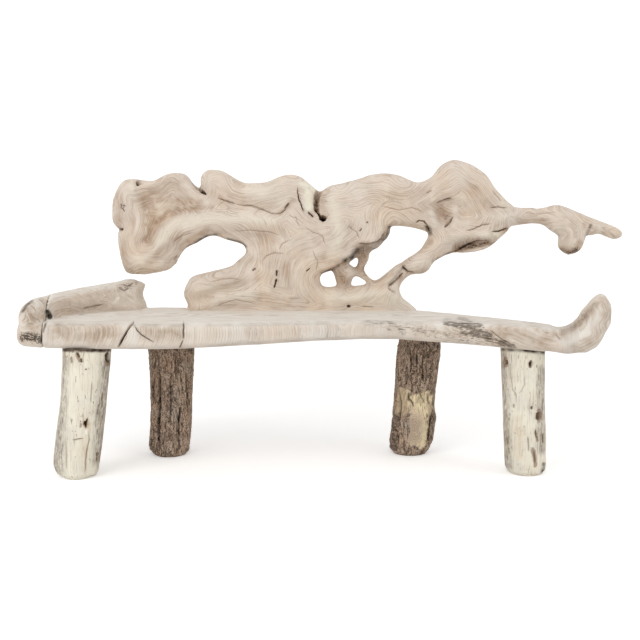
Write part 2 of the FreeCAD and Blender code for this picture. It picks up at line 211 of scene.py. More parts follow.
# Forms of the root's front: how far back in millimetres, how wide in pixels, and where
ROOT_FORMS = [
    (-22, 17, [(146, 262), (160, 247), (178, 231), (205, 222), (240, 219), (272, 222)]),
    (7, 5, [(145, 240), (156, 224), (168, 214.6), (190, 209.6), (212, 208.6)]),
    (-10, 13, [(128, 187), (124, 205), (127, 225), (134, 250), (140, 266)]),
    (24, 20, [(150, 198), (170, 198), (180, 201)]),
    (17, 14, [(146, 208), (153, 222), (148, 236), (145, 244)]),
    (-9, 9, [(132, 184), (139, 204), (141, 226), (144, 246)]),
    (-7, 7, [(156, 205), (172, 204), (192, 206)]),
    (-9, 12, [(152, 183), (170, 177), (186, 180)]),
    (12, 12, [(182, 206), (196, 207)]),
    (9, 10, [(166, 252), (158, 258), (153, 262)]),
    (12, 8, [(178, 258), (170, 264)]),
    (-9, 16, [(205, 178), (216, 188), (240, 194)]),
    (-11, 17, [(258, 195), (276, 192), (290, 190)]),
    (-9, 18, [(286, 222), (292, 240)]),
    (-10, 20, [(262, 262), (280, 256)]),
    (11, 12, [(250, 238), (264, 246), (270, 262)]),
    (-12, 14, [(198, 288), (222, 281), (246, 276)]),
    (-9, 12, [(215, 303), (240, 293), (262, 290), (280, 299)]),
    (-9, 18, [(302, 272), (300, 294)]),
    (8, 9, [(286, 268), (290, 288)]),
    (9, 12, [(318, 238), (322, 256)]),
    (-15, 34, [(352, 212)]),
    (-10, 20, [(372, 236), (362, 222)]),
    (9, 12, [(330, 262), (344, 250)]),
    (-10, 17, [(388, 192), (410, 197), (428, 199)]),
    (-14, 24, [(456, 182), (464, 194)]),
    (14, 13, [(442, 213), (444, 218)]),
    (-15, 15, [(388, 283), (404, 270), (424, 256), (444, 241), (462, 226)]),
    (-8, 10, [(470, 222), (492, 215), (512, 216), (536, 215)]),
    (26, 9, [(458, 247), (468, 244), (482, 244), (492, 242)]),
    (-11, 5, [(456, 253), (474, 251), (488, 247)]),
    (-9, 8, [(452, 236), (470, 234), (490, 236), (502, 231)]),
    (-8, 12, [(424, 268), (416, 270)]),
    (-8, 9, [(372, 241), (362, 243)]),
    (12, 7, [(384, 238), (388, 230)]),
    (-7, 10, [(232, 262), (252, 254)]),
    (-6, 9, [(196, 308), (220, 300), (250, 300)]),
    (8, 8, [(200, 298), (222, 291), (244, 286)]),
    (-6, 8, [(262, 270), (268, 290)]),
    (-6, 9, [(318, 224), (322, 244), (312, 262)]),
    (-7, 8, [(434, 199), (448, 194), (462, 200)]),
    (7, 6, [(436, 206), (450, 203)]),
    (-6, 7, [(432, 214), (436, 224)]),
    (-5, 6, [(455, 212), (452, 226)]),
    (-6, 8, [(560, 212), (574, 216)]),
    (6, 6, [(586, 226), (592, 230)]),
    (-6, 7, [(566, 224), (572, 246)]),
    (5, 6, [(563, 250), (572, 252)]),
    (-6, 8, [(346, 300), (376, 292), (398, 296)]),
    (14, 8, [(494, 232), (504, 229)]),
    (9, 8, [(489, 206), (496, 212), (506, 210)]),
    (-9, 16, [(568, 232), (570, 242)]),
    (-6, 12, [(340, 300), (372, 296), (396, 300)]),
    (9, 6, [(404, 270), (398, 280), (390, 286)]),
]

# Narrow creases, cracks and holes: depth in millimetres, width in pixels, darkness, and where
ROOT_CREASES = [
    (5, 1.5, 0.4, [(235, 204), (250, 206), (265, 210), (272, 213.4), (280, 213.2), (285, 210), (292, 200)]),
    (3, 1.3, 0.45, [(243, 204.6), (254, 206), (262, 208.6)]),
    (6, 2.0, 0.35, [(218, 198), (235, 204)]),
    (34, 6.4, 0.42, [(320.4, 188), (317, 196), (316, 203), (316.4, 209), (318.8, 214.4)]),
    (30, 2.4, 1.0, [(315.4, 205), (317, 211), (319.4, 215.4), (322, 217.6)]),
    (46, 5.6, 1.0, [(319.8, 216.2), (322.6, 218), (326.4, 219.8)]),
    (9, 1.7, 0.8, [(297.6, 187), (298.6, 198), (300.6, 203.4), (303.6, 212.4)]),
    (8, 2.0, 0.9, [(308, 212), (313.6, 217.4)]),
    (34, 3.2, 0.9, [(192, 181.6), (198, 187.6), (201.6, 191.6), (206.4, 194.8)]),
    (14, 4.6, 1.0, [(136.8, 180.4), (138.2, 183), (139.6, 186)]),
    (12, 2.4, 0.9, [(118.4, 229.8), (123.6, 229.2)]),
    (4, 1.8, 0.6, [(119.4, 206.6), (122.6, 208.6), (125, 211.6)]),
    (4, 1.8, 0.6, [(120, 203.6), (121.6, 206), (121, 210)]),
    (4, 1.8, 0.6, [(123, 205), (126, 206.6)]),
    (9, 2.0, 0.9, [(276.8, 269.6), (276.8, 273), (276.4, 276.4)]),
    (10, 2.3, 0.9, [(276.4, 278.4), (275.6, 283), (273.8, 288)]),
    (6, 2.0, 0.55, [(252, 270.6), (256, 268)]),
    (6, 2.0, 0.6, [(305.6, 271), (310, 268.6)]),
    (8, 2.4, 0.5, [(289, 203), (284, 209)]),
    (13, 2.6, 0.75, [(358, 243.4), (365, 244.4), (372, 244), (378, 241.8), (382.4, 238), (385.6, 230.6)]),
    (5, 1.9, 0.6, [(368, 221), (367, 223)]),
    (5, 1.9, 0.5, [(359.6, 231.4), (362, 228.6)]),
    (6, 1.9, 0.7, [(436, 203.4), (445, 200), (452, 198.2)]),
    (10, 2.3, 0.95, [(452.6, 217), (450, 221.2), (444.4, 227.6)]),
    (8, 2.0, 0.6, [(415, 223.4), (419, 221), (424, 221), (427.6, 226)]),
    (12, 3.0, 0.9, [(426.6, 227.6), (428.6, 232)]),
    (4, 1.5, 0.35, [(465, 231), (475, 228.6), (482, 225), (492, 224)]),
    (9, 2.0, 0.75, [(492, 231.4), (500, 230.6), (508.6, 228)]),
    (9, 2.2, 0.85, [(437, 259.4), (446, 255), (456, 250), (466, 245), (477, 241.6), (490, 240.6)]),
    (4, 1.5, 0.4, [(489, 208), (496, 207), (508, 208)]),
    (3, 1.4, 0.3, [(492, 190), (497, 196), (502, 202)]),
    (3, 1.3, 0.4, [(470, 249), (476, 246.6), (484, 245)]),
    (3, 1.3, 0.4, [(462, 250.4), (468, 247.6), (472, 245)]),
    (8, 2.3, 0.8, [(402, 265), (404.4, 269), (408.4, 272), (414.6, 273)]),
    (9, 2.4, 0.65, [(403.6, 272.6), (398.4, 278.6), (388.4, 287)]),
    (5, 2.0, 0.4, [(388, 287), (396, 293)]),
    (9, 2.6, 0.8, [(196, 243.4), (190, 245.6), (186, 247.6)]),
    (8, 2.4, 0.6, [(178, 256), (174, 260)]),
    (12, 2.6, 0.9, [(346.8, 306.2), (348.8, 307), (350.8, 307)]),
    (2, 1.2, 0.35, [(361, 306.8), (374, 307)]),
    (3, 1.6, 0.35, [(432, 190), (426, 193)]),
    (5, 2.2, 0.4, [(345, 262), (338, 266.6), (331, 269.6), (323, 272.6)]),
    (3, 1.3, 0.18, [(262, 262), (266, 256), (274, 253), (284, 254)]),
    (3, 1.3, 0.18, [(279, 250), (282, 244), (290, 240)]),
    (3, 1.2, 0.15, [(312, 250), (318, 262), (316, 272)]),
    (3, 1.3, 0.15, [(304, 226), (312, 232), (322, 236), (326, 246)]),
    (3, 1.2, 0.15, [(286, 214), (296, 218), (300, 228)]),
    (3, 1.2, 0.15, [(232, 232), (250, 230.6), (268, 232), (282, 236)]),
    (3, 1.2, 0.2, [(172, 243), (182, 236), (194, 233)]),
    (3, 1.3, 0.18, [(348, 226), (356, 232), (360, 240)]),
    (3, 1.2, 0.13, [(380, 206), (398, 210), (412, 208), (424, 212)]),
    (3, 1.2, 0.15, [(210, 282), (226, 278), (240, 280)]),
    (3, 1.2, 0.15, [(216, 306), (236, 300), (256, 304)]),
    (3, 1.3, 0.15, [(524, 213), (540, 214), (556, 212)]),
]

# Tints laid on the wood: for each, how strong, how wide in pixels, and where
ROOT_TINTS = {
    "pale": [
        (0.35, 10, [(158, 241), (168, 229), (184, 222), (208, 219), (240, 219), (268, 222)]),
        (0.7, 1.5, [(147.4, 210), (146.6, 213)]),
        (0.7, 1.5, [(146.4, 218), (146, 222)]),
        (0.7, 1.5, [(146, 227), (146.4, 234)]),
        (1.0, 7.5, [(306, 184), (308, 190), (308, 200), (309, 207)]),
        (0.8, 5.0, [(301, 183), (314, 190)]),
        (0.45, 9, [(332, 200), (340, 240), (334, 252)]),
        (0.45, 8, [(504, 204)]),
        (0.35, 8, [(392, 283), (400, 291)]),
        (0.5, 7, [(486, 236), (498, 232)]),
        (0.3, 12, [(250, 190), (284, 200)]),
        (0.35, 15, [(328, 298), (398, 300)]),
        (0.25, 14, [(200, 290), (250, 296)]),
    ],
    "brown": [
        (0.85, 14, [(146, 200), (153, 220), (150, 240)]),
        (0.75, 13, [(150, 196), (170, 200), (196, 205)]),
        (0.85, 10, [(160, 224), (166, 214), (178, 209)]),
        (0.75, 8, [(178, 232), (168, 242), (156, 254)]),
        (0.6, 9, [(123, 244), (124, 262), (130, 270)]),
        (0.55, 8, [(118, 196), (120, 216), (118, 226)]),
        (0.5, 9, [(160, 180), (182, 180)]),
        (0.9, 6, [(146, 238), (156, 222), (168, 212), (196, 207.6)]),
        (0.5, 6, [(196, 236), (186, 246)]),
        (0.4, 12, [(206, 190), (236, 198), (270, 206)]),
        (0.55, 6, [(280, 212), (288, 206), (293, 200)]),
        (0.45, 12, [(320, 196), (322, 214)]),
        (0.45, 14, [(396, 196), (424, 192)]),
        (0.5, 12, [(424, 206), (440, 196), (462, 196)]),
        (0.55, 11, [(474, 190), (490, 206)]),
        (0.6, 9, [(520, 222), (545, 222)]),
        (0.85, 8, [(560, 250), (572, 252), (580, 244)]),
        (0.45, 6, [(430, 242), (412, 254), (396, 266)]),
        (0.6, 7, [(586, 226), (594, 230)]),
        (0.45, 6, [(604, 232), (618, 236)]),
        (0.55, 8, [(400, 282), (410, 272), (424, 270)]),
        (0.45, 10, [(380, 282), (404, 262)]),
        (0.15, 12, [(340, 304), (390, 304)]),
        (0.25, 12, [(190, 300), (214, 300), (244, 306)]),
        (0.15, 14, [(276, 292), (320, 302)]),
        (0.2, 12, [(240, 262), (262, 258)]),
        (0.55, 9, [(262, 236), (274, 240)]),
        (0.95, 13, [(443, 211), (444, 215)]),
        (0.4, 8, [(456, 200), (470, 190)]),
        (1.0, 14, [(364, 254), (361, 266), (366, 277)]),
        (0.8, 15, [(336, 268), (344, 282)]),
        (1.0, 7, [(456, 249.4), (470, 246), (488, 242.6)]),
        (0.9, 6, [(492, 233), (506, 230)]),
        (0.2, 9, [(205, 282), (240, 276)]),
        (0.15, 9, [(262, 240), (276, 262)]),
    ],
    "rot": [
        (0.7, 5.0, [(561, 250), (570, 253), (578, 249)]),
        (0.35, 9, [(440, 210), (446, 216)]),
        (0.8, 5.5, [(457, 249.4), (470, 246), (486, 242.8)]),
        (0.42, 7, [(362, 250), (366, 262), (364, 274)]),
        (0.32, 8, [(330, 272), (342, 276), (346, 286)]),
    ],
    # Painted shade along the edges of gaps and windows and under limbs
    "dark": [
        (0.6, 2.6, [(586.6, 235), (588.4, 230), (591, 225)]),
        (0.45, 2.6, [(404, 266), (398, 274), (389, 284)]),
        (0.8, 3.2, [(196, 242.4), (206, 236.6), (216, 235)]),
        (0.75, 2.8, [(228, 239.4), (240, 242.6), (245.6, 246.6)]),
        (0.45, 6.0, [(362, 248), (374, 248), (382, 242), (388, 233)]),
        (0.9, 4.8, [(358, 250), (352, 257), (345, 261)]),
        (0.6, 3.2, [(338, 266), (332, 270), (322, 273)]),
        (0.4, 3.0, [(434, 261), (450, 253.6)]),
        (0.95, 3.4, [(426.6, 226.6), (430.2, 229.8), (429.8, 233.6)]),
        (0.8, 3.6, [(389.4, 227.4), (387.6, 233), (383.4, 240)]),
    ],
}

# Growth rings on the plank's front face: how much they bend, about which height, and a pixel's size
ARC_BEND = 0.022
ARC_MIDDLE = 333
PIXEL_SIZE = 0.0028

# Where across the picture those arcs begin and fade and the horn begins, and how high the plank's pith lies
ARCS_START = (40, 60)
ARCS_END = (335, 440)
HORN_START = (556, 580)
PITH_HEIGHT = 0.20

# The middle line of the horn, and the plank's left end
HORN_LINE = [(540, 352), (570, 348), (590, 334), (602, 306)]
LEFT_END = [(16, 306), (13, 342)]

# Where the plank's ends are rounded: reach in pixels, rounds of smoothing, and where
ROUNDED_ENDS = [(44, 36, HORN_LINE[1:]), (26, 26, LEFT_END)]

# Shifts of the plank's outline in pixels: how wide, how far across and down, and where
SEAT_NUDGES = [
    (34, -3.8, -0.8, [(602, 312)]),
    (26, 0, -2.2, [(590, 350)]),
    (12, -3.6, 0, [(148, 294)]),
    (12, 0, -1.2, [(128, 280)]),
    (17, -4.2, 0, [(610, 338), (600, 350)]),
    (11, -1.4, 0, [(613, 300)]),
    (17, 0, -2.8, [(594, 299), (605, 300)]),
    (13, 0, -2.4, [(554, 356), (576, 357)]),
    (10, -1.4, 0, [(584, 311)]),
    (8, 0, -1.2, [(18, 344), (60, 348.5), (112, 349.5), (195, 348.5), (260, 344.5), (345, 341), (395, 339.5),
                  (442, 343.5), (500, 347.5), (546, 353)]),
    (9, 0, -1.9, [(414, 311.5), (484, 318.5), (548, 325.5)]),
    (8, 0, -1.2, [(148, 308.5), (184, 308.5)]),
]
END_NUDGES = [
    (24, -2.6, -1.8, [(30, 304)]),
    (20, 1.2, 0, [(15, 326), (14, 342)]),
    (12, -1.6, 0, [(21, 316)]),
    (8, 0, -1.0, [(18, 344), (42, 346.5)]),
]

# The plank's and the end limb's forms, cracks and tints
SEAT_FORMS = [
    (-8, 10, [(580, 345), (592, 332), (600, 312)]),
    (6, 12, [(100, 335), (112, 330)]),
    (5, 10, [(82, 311), (95, 307)]),
    (9, 8, [(129, 285), (122, 288)]),
]
SEAT_CREASES = [
    (16, 2.1, 1.0, [(134.8, 320), (133, 323), (129, 328), (123, 338), (118, 348.8)]),
    (5, 1.5, 0.6, [(134.6, 324), (137, 330), (141, 334.4), (150, 340), (155, 343)]),
    (5, 1.5, 0.65, [(183.8, 319.6), (183.6, 329), (183.2, 340)]),
    (4, 1.4, 0.6, [(183, 340), (181.6, 345), (179, 348.6)]),
    (3, 2.0, 0.4, [(82, 309.6), (88, 307.4), (96, 306), (104, 304)]),
    (12, 3.4, 1.0, [(46.8, 310.6), (48.4, 314), (50, 318)]),
    (4, 1.8, 0.5, [(118, 287), (124, 290), (130, 287)]),
    (4, 1.8, 0.5, [(122, 284), (128, 286), (134, 282)]),
    (3, 1.8, 0.6, [(440, 343.6), (452, 345), (464, 345.6)]),
    (3, 1.8, 0.5, [(474, 337), (492, 339), (510, 345)]),
    (3, 1.8, 0.5, [(489, 329), (500, 338), (512, 345)]),
    (3, 1.6, 0.4, [(484, 341), (496, 343), (506, 347)]),
    (2, 1.6, 0.3, [(556, 334), (560, 340)]),
    (2, 1.4, 0.4, [(46, 323), (43.6, 329), (43.4, 334)]),
]
SEAT_TINTS = {
    "stain": [
        (1.0, 8.0, [(446, 321), (462, 325), (478, 330), (490, 337)]),
        (1.0, 8.0, [(460, 319), (474, 324), (484, 332)]),
        (0.75, 9.0, [(462, 332), (488, 338), (512, 346)]),
        (0.52, 10.0, [(366, 321), (384, 324), (404, 331)]),
        (0.45, 10.0, [(408, 328), (436, 334), (452, 338)]),
        (0.4, 9.0, [(446, 340), (500, 345)]),
        (0.42, 7, [(572, 328), (582, 319), (594, 306)]),
        (0.3, 6, [(546, 332), (560, 336)]),
        (0.5, 7, [(120, 287), (128, 288), (134, 283)]),
    ],
    "brown": [
        (1.0, 18, [(60, 330), (84, 336), (112, 332)]),
        (0.55, 16, [(64, 304), (100, 296), (130, 294)]),
        (0.65, 10, [(62, 312), (84, 309), (104, 306)]),
        (0.85, 11, [(578, 348), (596, 338), (606, 318), (604, 302)]),
        (0.55, 8, [(530, 326), (552, 334), (566, 336)]),
        (1.0, 8, [(562, 333), (575, 327), (587, 315), (597, 304)]),
        (0.45, 5, [(550, 334), (560, 338)]),
        (0.4, 8, [(100, 334), (112, 332)]),
        (0.3, 8, [(82, 341), (96, 344)]),
        (0.45, 6, [(122, 286), (134, 284)]),
        (0.85, 14, [(146, 332), (176, 334)]),
        (0.95, 15, [(500, 332), (546, 342)]),
        (0.6, 10, [(420, 330), (470, 334)]),
        (0.35, 10, [(98, 297), (110, 290)]),
        (0.2, 12, [(210, 334), (330, 328), (400, 328)]),
    ],
    # Painted shade in a deep hole and along a crack
    "dark": [
        (2.4, 4.0, [(47.4, 312), (48.6, 314), (49.6, 316.6)]),
        (0.6, 2.2, [(46.4, 321), (44.8, 326), (43, 331)]),
    ],
    "pale": [
        (0.7, 3.2, [(114, 303), (118, 298)]),
    ],
}
END_CREASES = [
    (1, 1.4, 0.35, [(21, 322), (25, 318), (26, 312)]),
    (2, 1.8, 0.7, [(24, 334), (28, 333), (33, 335.6), (39, 334)]),
    (2, 1.8, 0.7, [(22, 340), (27, 338), (31, 340.4), (36, 338.6)]),
    (1, 1.3, 0.4, [(30, 305), (34, 307.6), (36.4, 312)]),
    (1, 1.3, 0.4, [(38, 299), (42, 301), (44, 304), (45.6, 303)]),
    (1, 1.3, 0.3, [(26, 325), (30, 323), (34, 325)]),
    (1, 1.3, 0.35, [(31, 313), (33, 317), (38, 319.6), (42, 324)]),
    (1, 1.3, 0.3, [(26, 316), (28.6, 319), (28, 323)]),
]
END_TINTS = {
    "rot": [
        (1.0, 8.5, [(24, 337), (32, 338), (40, 340)]),
        (0.55, 7, [(31, 334), (37, 335)]),
    ],
    "brown": [
        (0.8, 4.5, [(20.6, 314), (25, 307), (31, 300.8)]),
        (0.9, 14, [(28, 312), (34, 326)]),
        (0.6, 9, [(42, 300), (44, 322)]),
    ],
    # Painted shade along the top-left edge, in a deep hole and along a crack
    "dark": [
        (0.75, 2.6, [(22.6, 311.4), (26.4, 306), (31.6, 300.8)]),
        (2.4, 3.4, [(47, 312), (47.8, 314), (48.6, 316)]),
        (0.6, 2.2, [(45.6, 321), (44.4, 326), (42, 331), (41.4, 340)]),
    ],
}

# Left and right edges of each leg down the picture, and the steps and bands in which they are fitted
EDGE_STEP = 2.0
EDGE_BAND = 1.6
LEG_SIDES = {
    "leg_front_left": [
        (349, 62.2, 111.8), (365, 62, 110.4), (380, 61, 109), (395, 60, 107.4), (420, 57, 105),
        (440, 55, 103), (455, 53.4, 101.4), (464, 53.2, 100.2), (470, 55, 99.4), (474, 57.6, 98),
        (477, 63, 92),
    ],
    "leg_front_right": [
        (348, 500.2, 545), (385, 501.4, 545.2), (430, 502.4, 545.8), (450, 503.4, 545.6),
        (464, 504.2, 545.6), (470, 506, 545), (474, 509.6, 542.6),
    ],
    "leg_rear_left": [
        (348, 148, 194), (365, 149, 193.6), (380, 149.8, 193), (410, 150.6, 192), (430, 149.8, 191.2),
        (445, 148.8, 190), (450, 150, 189.2), (454, 153, 187),
    ],
    "leg_rear_right": [
        (343, 398.4, 440.8), (355, 396.6, 440.2), (385, 395, 436.4), (405, 393.6, 434.4),
        (411, 392.8, 434.8), (416, 392.4, 436), (430, 391, 434.4), (440, 389.8, 432.6), (447, 389.6, 429.6),
        (452, 392.4, 427),
    ],
}
LEG_CREASES = {
    "leg_front_left": [
        (13, 5.0, 1.0, [(86.4, 421), (85.8, 423.6), (85.8, 426.4)]),
        (8, 2.4, 1.0, [(87.8, 418.4), (86.4, 422), (85.8, 428.6)]),
        (3, 1.6, 0.45, [(88.6, 431), (89.4, 440), (86.6, 452), (85, 476)]),
        (3, 1.5, 0.45, [(72, 440), (78, 439), (84, 438.4)]),
        (7, 3.0, 1.0, [(98.4, 452), (97.6, 457), (97, 461)]),
        (4, 3.4, 0.8, [(76.6, 352), (78, 355), (79.4, 358)]),
        (4, 3.0, 0.9, [(81, 358), (81.6, 363)]),
        (5, 4.6, 0.75, [(107, 353), (107.6, 362)]),
        (3, 1.8, 0.5, [(103, 392), (101.6, 402)]),
        (3, 1.6, 0.4, [(99, 404), (98, 416)]),
        (3, 1.8, 0.6, [(64.6, 352), (65, 358)]),
        (3, 1.8, 0.6, [(71, 356), (71.6, 364)]),
        (3, 2.2, 0.8, [(85.8, 368.6), (86.2, 370.4)]),
        (2, 1.5, 0.35, [(66, 448), (66.6, 470)]),
        (2, 1.5, 0.35, [(92, 380), (91, 404)]),
    ],
    "leg_front_right": [
        (6, 5.6, 0.7, [(505.4, 359.6), (505.8, 365)]),
        (6, 4.4, 0.85, [(531, 361.6), (530.6, 366)]),
        (8, 6.4, 0.7, [(539.6, 412), (538.6, 421)]),
        (3, 1.7, 0.34, [(510.2, 362), (510.8, 376), (511.8, 389), (515.6, 393.6), (516.2, 404)]),
        (2, 1.5, 0.22, [(524.8, 374), (525, 384), (521.6, 391), (518, 394)]),
        (3, 2.2, 0.8, [(501.8, 384), (501.8, 391)]),
        (3, 2.8, 0.6, [(535.6, 430), (537.4, 440)]),
        (4, 3.4, 0.7, [(543.4, 433), (543.4, 444)]),
        (2, 1.6, 0.5, [(507, 436), (507.4, 444), (509.4, 456)]),
        (3, 2.8, 0.7, [(531.8, 406), (531.8, 410)]),
        (3, 3.0, 0.5, [(534, 450), (535, 464)]),
        (3, 2.0, 0.4, [(528, 436), (528.6, 452)]),
        (3, 2.6, 0.5, [(513, 404), (513.6, 408)]),
    ],
    "leg_rear_left": [
        (8, 2.6, 0.9, [(158.6, 362), (159.6, 380), (160, 400), (158.6, 430), (159.4, 455)]),
        (5, 2.2, 0.7, [(180, 406), (178.6, 424), (179, 446)]),
        (5, 2.2, 0.7, [(186, 372), (187.4, 390), (187.6, 410)]),
        (5, 2.0, 0.6, [(170, 376), (171, 400), (170, 424)]),
        (4, 2.0, 0.6, [(153, 384), (154, 404)]),
        (4, 2.0, 0.5, [(176, 352), (175, 374)]),
    ],
    "leg_rear_right": [
        (5, 2.2, 0.7, [(409, 346), (411, 358), (410.6, 374)]),
        (5, 2.2, 0.7, [(424, 350), (422.4, 366), (423, 382)]),
        (4, 2.2, 0.7, [(408.6, 391), (408, 398), (412.6, 403), (413.4, 408)]),
        (5, 2.6, 0.8, [(431, 414), (429.6, 426), (427.6, 442)]),
        (4, 2.0, 0.6, [(400, 392), (401, 408), (398.6, 424)]),
        (3, 1.8, 0.5, [(417, 386), (421, 396), (425, 404)]),
        (4, 2.0, 0.6, [(416, 352), (417.4, 366)]),
    ],
}
LEG_TINTS = {
    "leg_front_left": {
        "brown": [
            # The first row is painted shade under the seat, in brown
            (0.9, 4.4, [(63, 349.4), (76, 350), (84, 349.6), (108, 350)]),
            (0.6, 5.6, [(77, 354), (80, 360)]),
            (0.7, 5, [(107.4, 354), (107.8, 364)]),
            (0.3, 6, [(66, 356), (64, 380)]),
        ],
        # Painted shadow under the seat and shade in a crack
        "dark": [
            (0.9, 3.4, [(63, 350), (86, 350.6), (110, 350)]),
            (0.8, 3.0, [(107.4, 353), (107.8, 361)]),
        ],
        "tan": [
            (0.9, 6.4, [(86.6, 422), (87, 431)]),
            (0.5, 7, [(86, 440), (84, 470)]),
        ],
        "grey": [
            (1.0, 12, [(61, 360), (58, 420), (56, 470)]),
            (1.0, 11, [(108, 366), (103, 410), (99, 460)]),
        ],
        "pale": [
            (1.0, 2.2, [(86.2, 430.6), (86.2, 433.4)]),
        ],
    },
    "leg_front_right": {
        "grey": [
            (0.9, 8, [(503, 356), (504, 400), (506, 440), (508, 466)]),
            (0.9, 8, [(542, 370), (542, 450)]),
        ],
        "brown": [
            (0.9, 4, [(505.4, 359), (505.8, 366)]),
            (0.7, 3.4, [(531, 362), (530.6, 367)]),
            (0.9, 4.6, [(539.2, 411), (538.8, 422)]),
            (0.8, 3.6, [(535.6, 430), (537.4, 441)]),
            (0.7, 4.8, [(533, 449), (536, 466)]),
            # These two rows are painted shade under the seat
            (0.9, 3.0, [(537, 350), (545, 352)]),
            (0.35, 4.0, [(502, 350), (534, 349)]),
        ],
        # Painted shade near the foot, under the seat and in a crack
        "dark": [
            (0.8, 3.0, [(543.8, 464), (542.4, 473)]),
            (0.75, 3.0, [(501, 349.4), (524, 350.4), (545, 353)]),
            (0.7, 2.6, [(531, 361.6), (530.6, 366)]),
        ],
        "tan": [
            (0.5, 8, [(518, 420), (520, 456)]),
        ],
    },
    "leg_rear_left": {
        "pale": [
            (0.6, 6, [(166, 380), (165, 410), (166, 445)]),
            (0.5, 12, [(160, 436), (184, 440)]),
        ],
        "brown": [
            (0.4, 7, [(154, 370), (156, 400)]),
            (0.6, 9, [(166, 362), (186, 358)]),
        ],
        "grey": [
            (0.9, 6, [(185, 366), (189, 372)]),
            (0.7, 9, [(174, 396), (176, 420)]),
        ],
        # Painted shade near the foot and under the seat
        "dark": [
            (0.8, 5, [(151, 440), (153, 452)]),
            (0.75, 9, [(152, 349), (192, 349)]),
        ],
    },
    "leg_rear_right": {
        "bare": [
            (0.95, 15, [(416, 402), (419, 420), (417, 438)]),
            (0.8, 11, [(427, 397), (421, 444)]),
            (0.74, 13, [(403, 394), (402, 410)]),
        ],
        "yellow": [
            (0.35, 10, [(402, 392), (401, 406)]),
            (1.0, 13, [(412, 396), (422, 404), (430, 396)]),
            (0.8, 6, [(426, 408), (427, 432), (423, 444)]),
        ],
        "grey": [
            (1.0, 15, [(414, 424), (414, 436)]),
        ],
        "brown": [
            (0.9, 11, [(401, 392), (400, 410)]),
        ],
        # Painted shade under the seat and along the leg's edges
        "dark": [
            (0.7, 9, [(402, 345), (438, 345)]),
            (0.85, 7, [(396, 418), (394, 446)]),
            (0.7, 4.4, [(433, 412), (430, 440)]),
        ],
        "pale": [
            (0.4, 9, [(406, 360), (428, 366)]),
        ],
    },
}

# The sawn-off branch on the right rear leg: its middle, its flatness, its edge and its ring spacing
KNOT_NODE = "leg_rear_right"
KNOT_MIDDLE = (414.5, 428.0)
KNOT_SHAPE = (1.0, 0.62)
KNOT_EDGE = (14, 7)
KNOT_RINGS = 0.0034


# Arrays of points

def to_picture(points):
    """Where points fall in the photograph, in pixels, and how far they are from its camera."""
    offset = points - CAMERA_PLACE
    depth = offset[:, 1] * math.cos(CAMERA_PITCH) - offset[:, 2] * math.sin(CAMERA_PITCH)
    rise = offset[:, 1] * math.sin(CAMERA_PITCH) + offset[:, 2] * math.cos(CAMERA_PITCH)
    across = PICTURE / 2 + CAMERA_FOCAL * offset[:, 0] / depth
    down = PICTURE / 2 - CAMERA_FOCAL * rise / depth
    return np.stack((across, down), 1), depth


def root_sheet_y(height):
    """How far back the root's leaning middle sheet stands at a height."""
    return ROOT_FOOT_Y + ROOT_LEAN * (height - SEAT_TOP)


def on_root_sheet(pixel):
    """The point of the root's leaning middle sheet that a pixel shows, as x and z."""
    side = (pixel[0] - PICTURE / 2) / CAMERA_FOCAL
    rise = (PICTURE / 2 - pixel[1]) / CAMERA_FOCAL
    ahead = math.cos(CAMERA_PITCH) + rise * math.sin(CAMERA_PITCH)
    up = rise * math.cos(CAMERA_PITCH) - math.sin(CAMERA_PITCH)
    reach = (root_sheet_y(CAMERA_PLACE[2]) - CAMERA_PLACE[1]) / (ahead - ROOT_LEAN * up)
    return CAMERA_PLACE[0] + reach * side, CAMERA_PLACE[2] + reach * up


def line_distance(places, line):
    """The distance of each place from a line through a few points."""
    ends = np.array(line, dtype=float)
    if len(ends) == 1:
        return np.hypot(*(places - ends[0]).T)
    nearest = np.full(len(places), FAR)
    for start, end in zip(ends[:-1], ends[1:]):
        run = end - start
        share = np.clip(((places - start) @ run) / max(run @ run, 1e-12), 0, 1)
        nearest = np.minimum(nearest, np.hypot(*(places - start - share[:, None] * run).T))
    return nearest


def line_side(places, line):
    """Each place's distance from a line, below nought on one side of it, and its share along the line."""
    ends = np.array(line, dtype=float)
    lengths = np.hypot(*np.diff(ends, axis=0).T)
    nearest = np.full(len(places), FAR)
    side = nearest.copy()
    along = np.zeros(len(places))
    walked = 0.0
    for start, end, length in zip(ends[:-1], ends[1:], lengths):
        run = (end - start) / length
        offset = places - start
        reach = offset @ run
        apart = np.hypot(*(offset - np.clip(reach, 0, length)[:, None] * run).T)
        sign = np.where(run[0] * offset[:, 1] < run[1] * offset[:, 0], -1, 1)
        closer = apart < nearest
        nearest = np.where(closer, apart, nearest)
        side = np.where(closer, sign * apart, side)
        along = np.where(closer, (walked + reach) / lengths.sum(), along)
        walked += length
    return side, along


def soft_step(values, low, high):
    """Values drawn out from 0 at low to 1 at high, with soft ends."""
    share = np.clip((values - low) / (high - low), 0, 1)
    return share * share * (3 - 2 * share)


def near(places, line, width):
    """How near each place lies to a line: 1 on it, and 0 from a width away."""
    return soft_step(1 - line_distance(places, line) / width, 0, 1)


def in_box(places, line, width):
    """Whether each place lies within a width of the box round a line."""
    ends = np.array(line, dtype=float)
    return np.all((places > ends.min(0) - width) & (places < ends.max(0) + width), axis=1)


def lattice(cells, seed):
    """A steady random value from 0 to 1 for each whole cell of space."""
    mixed = seed * SEED_MIX
    for axis, factor in enumerate(CELL_MIX):
        mixed = mixed ^ cells[:, axis] * factor
    mixed = (mixed ^ (mixed >> 13)) * LAST_MIX & 0xFFFFFFFF
    return ((mixed ^ (mixed >> 16)) & 0xFFFF) / 65535.0


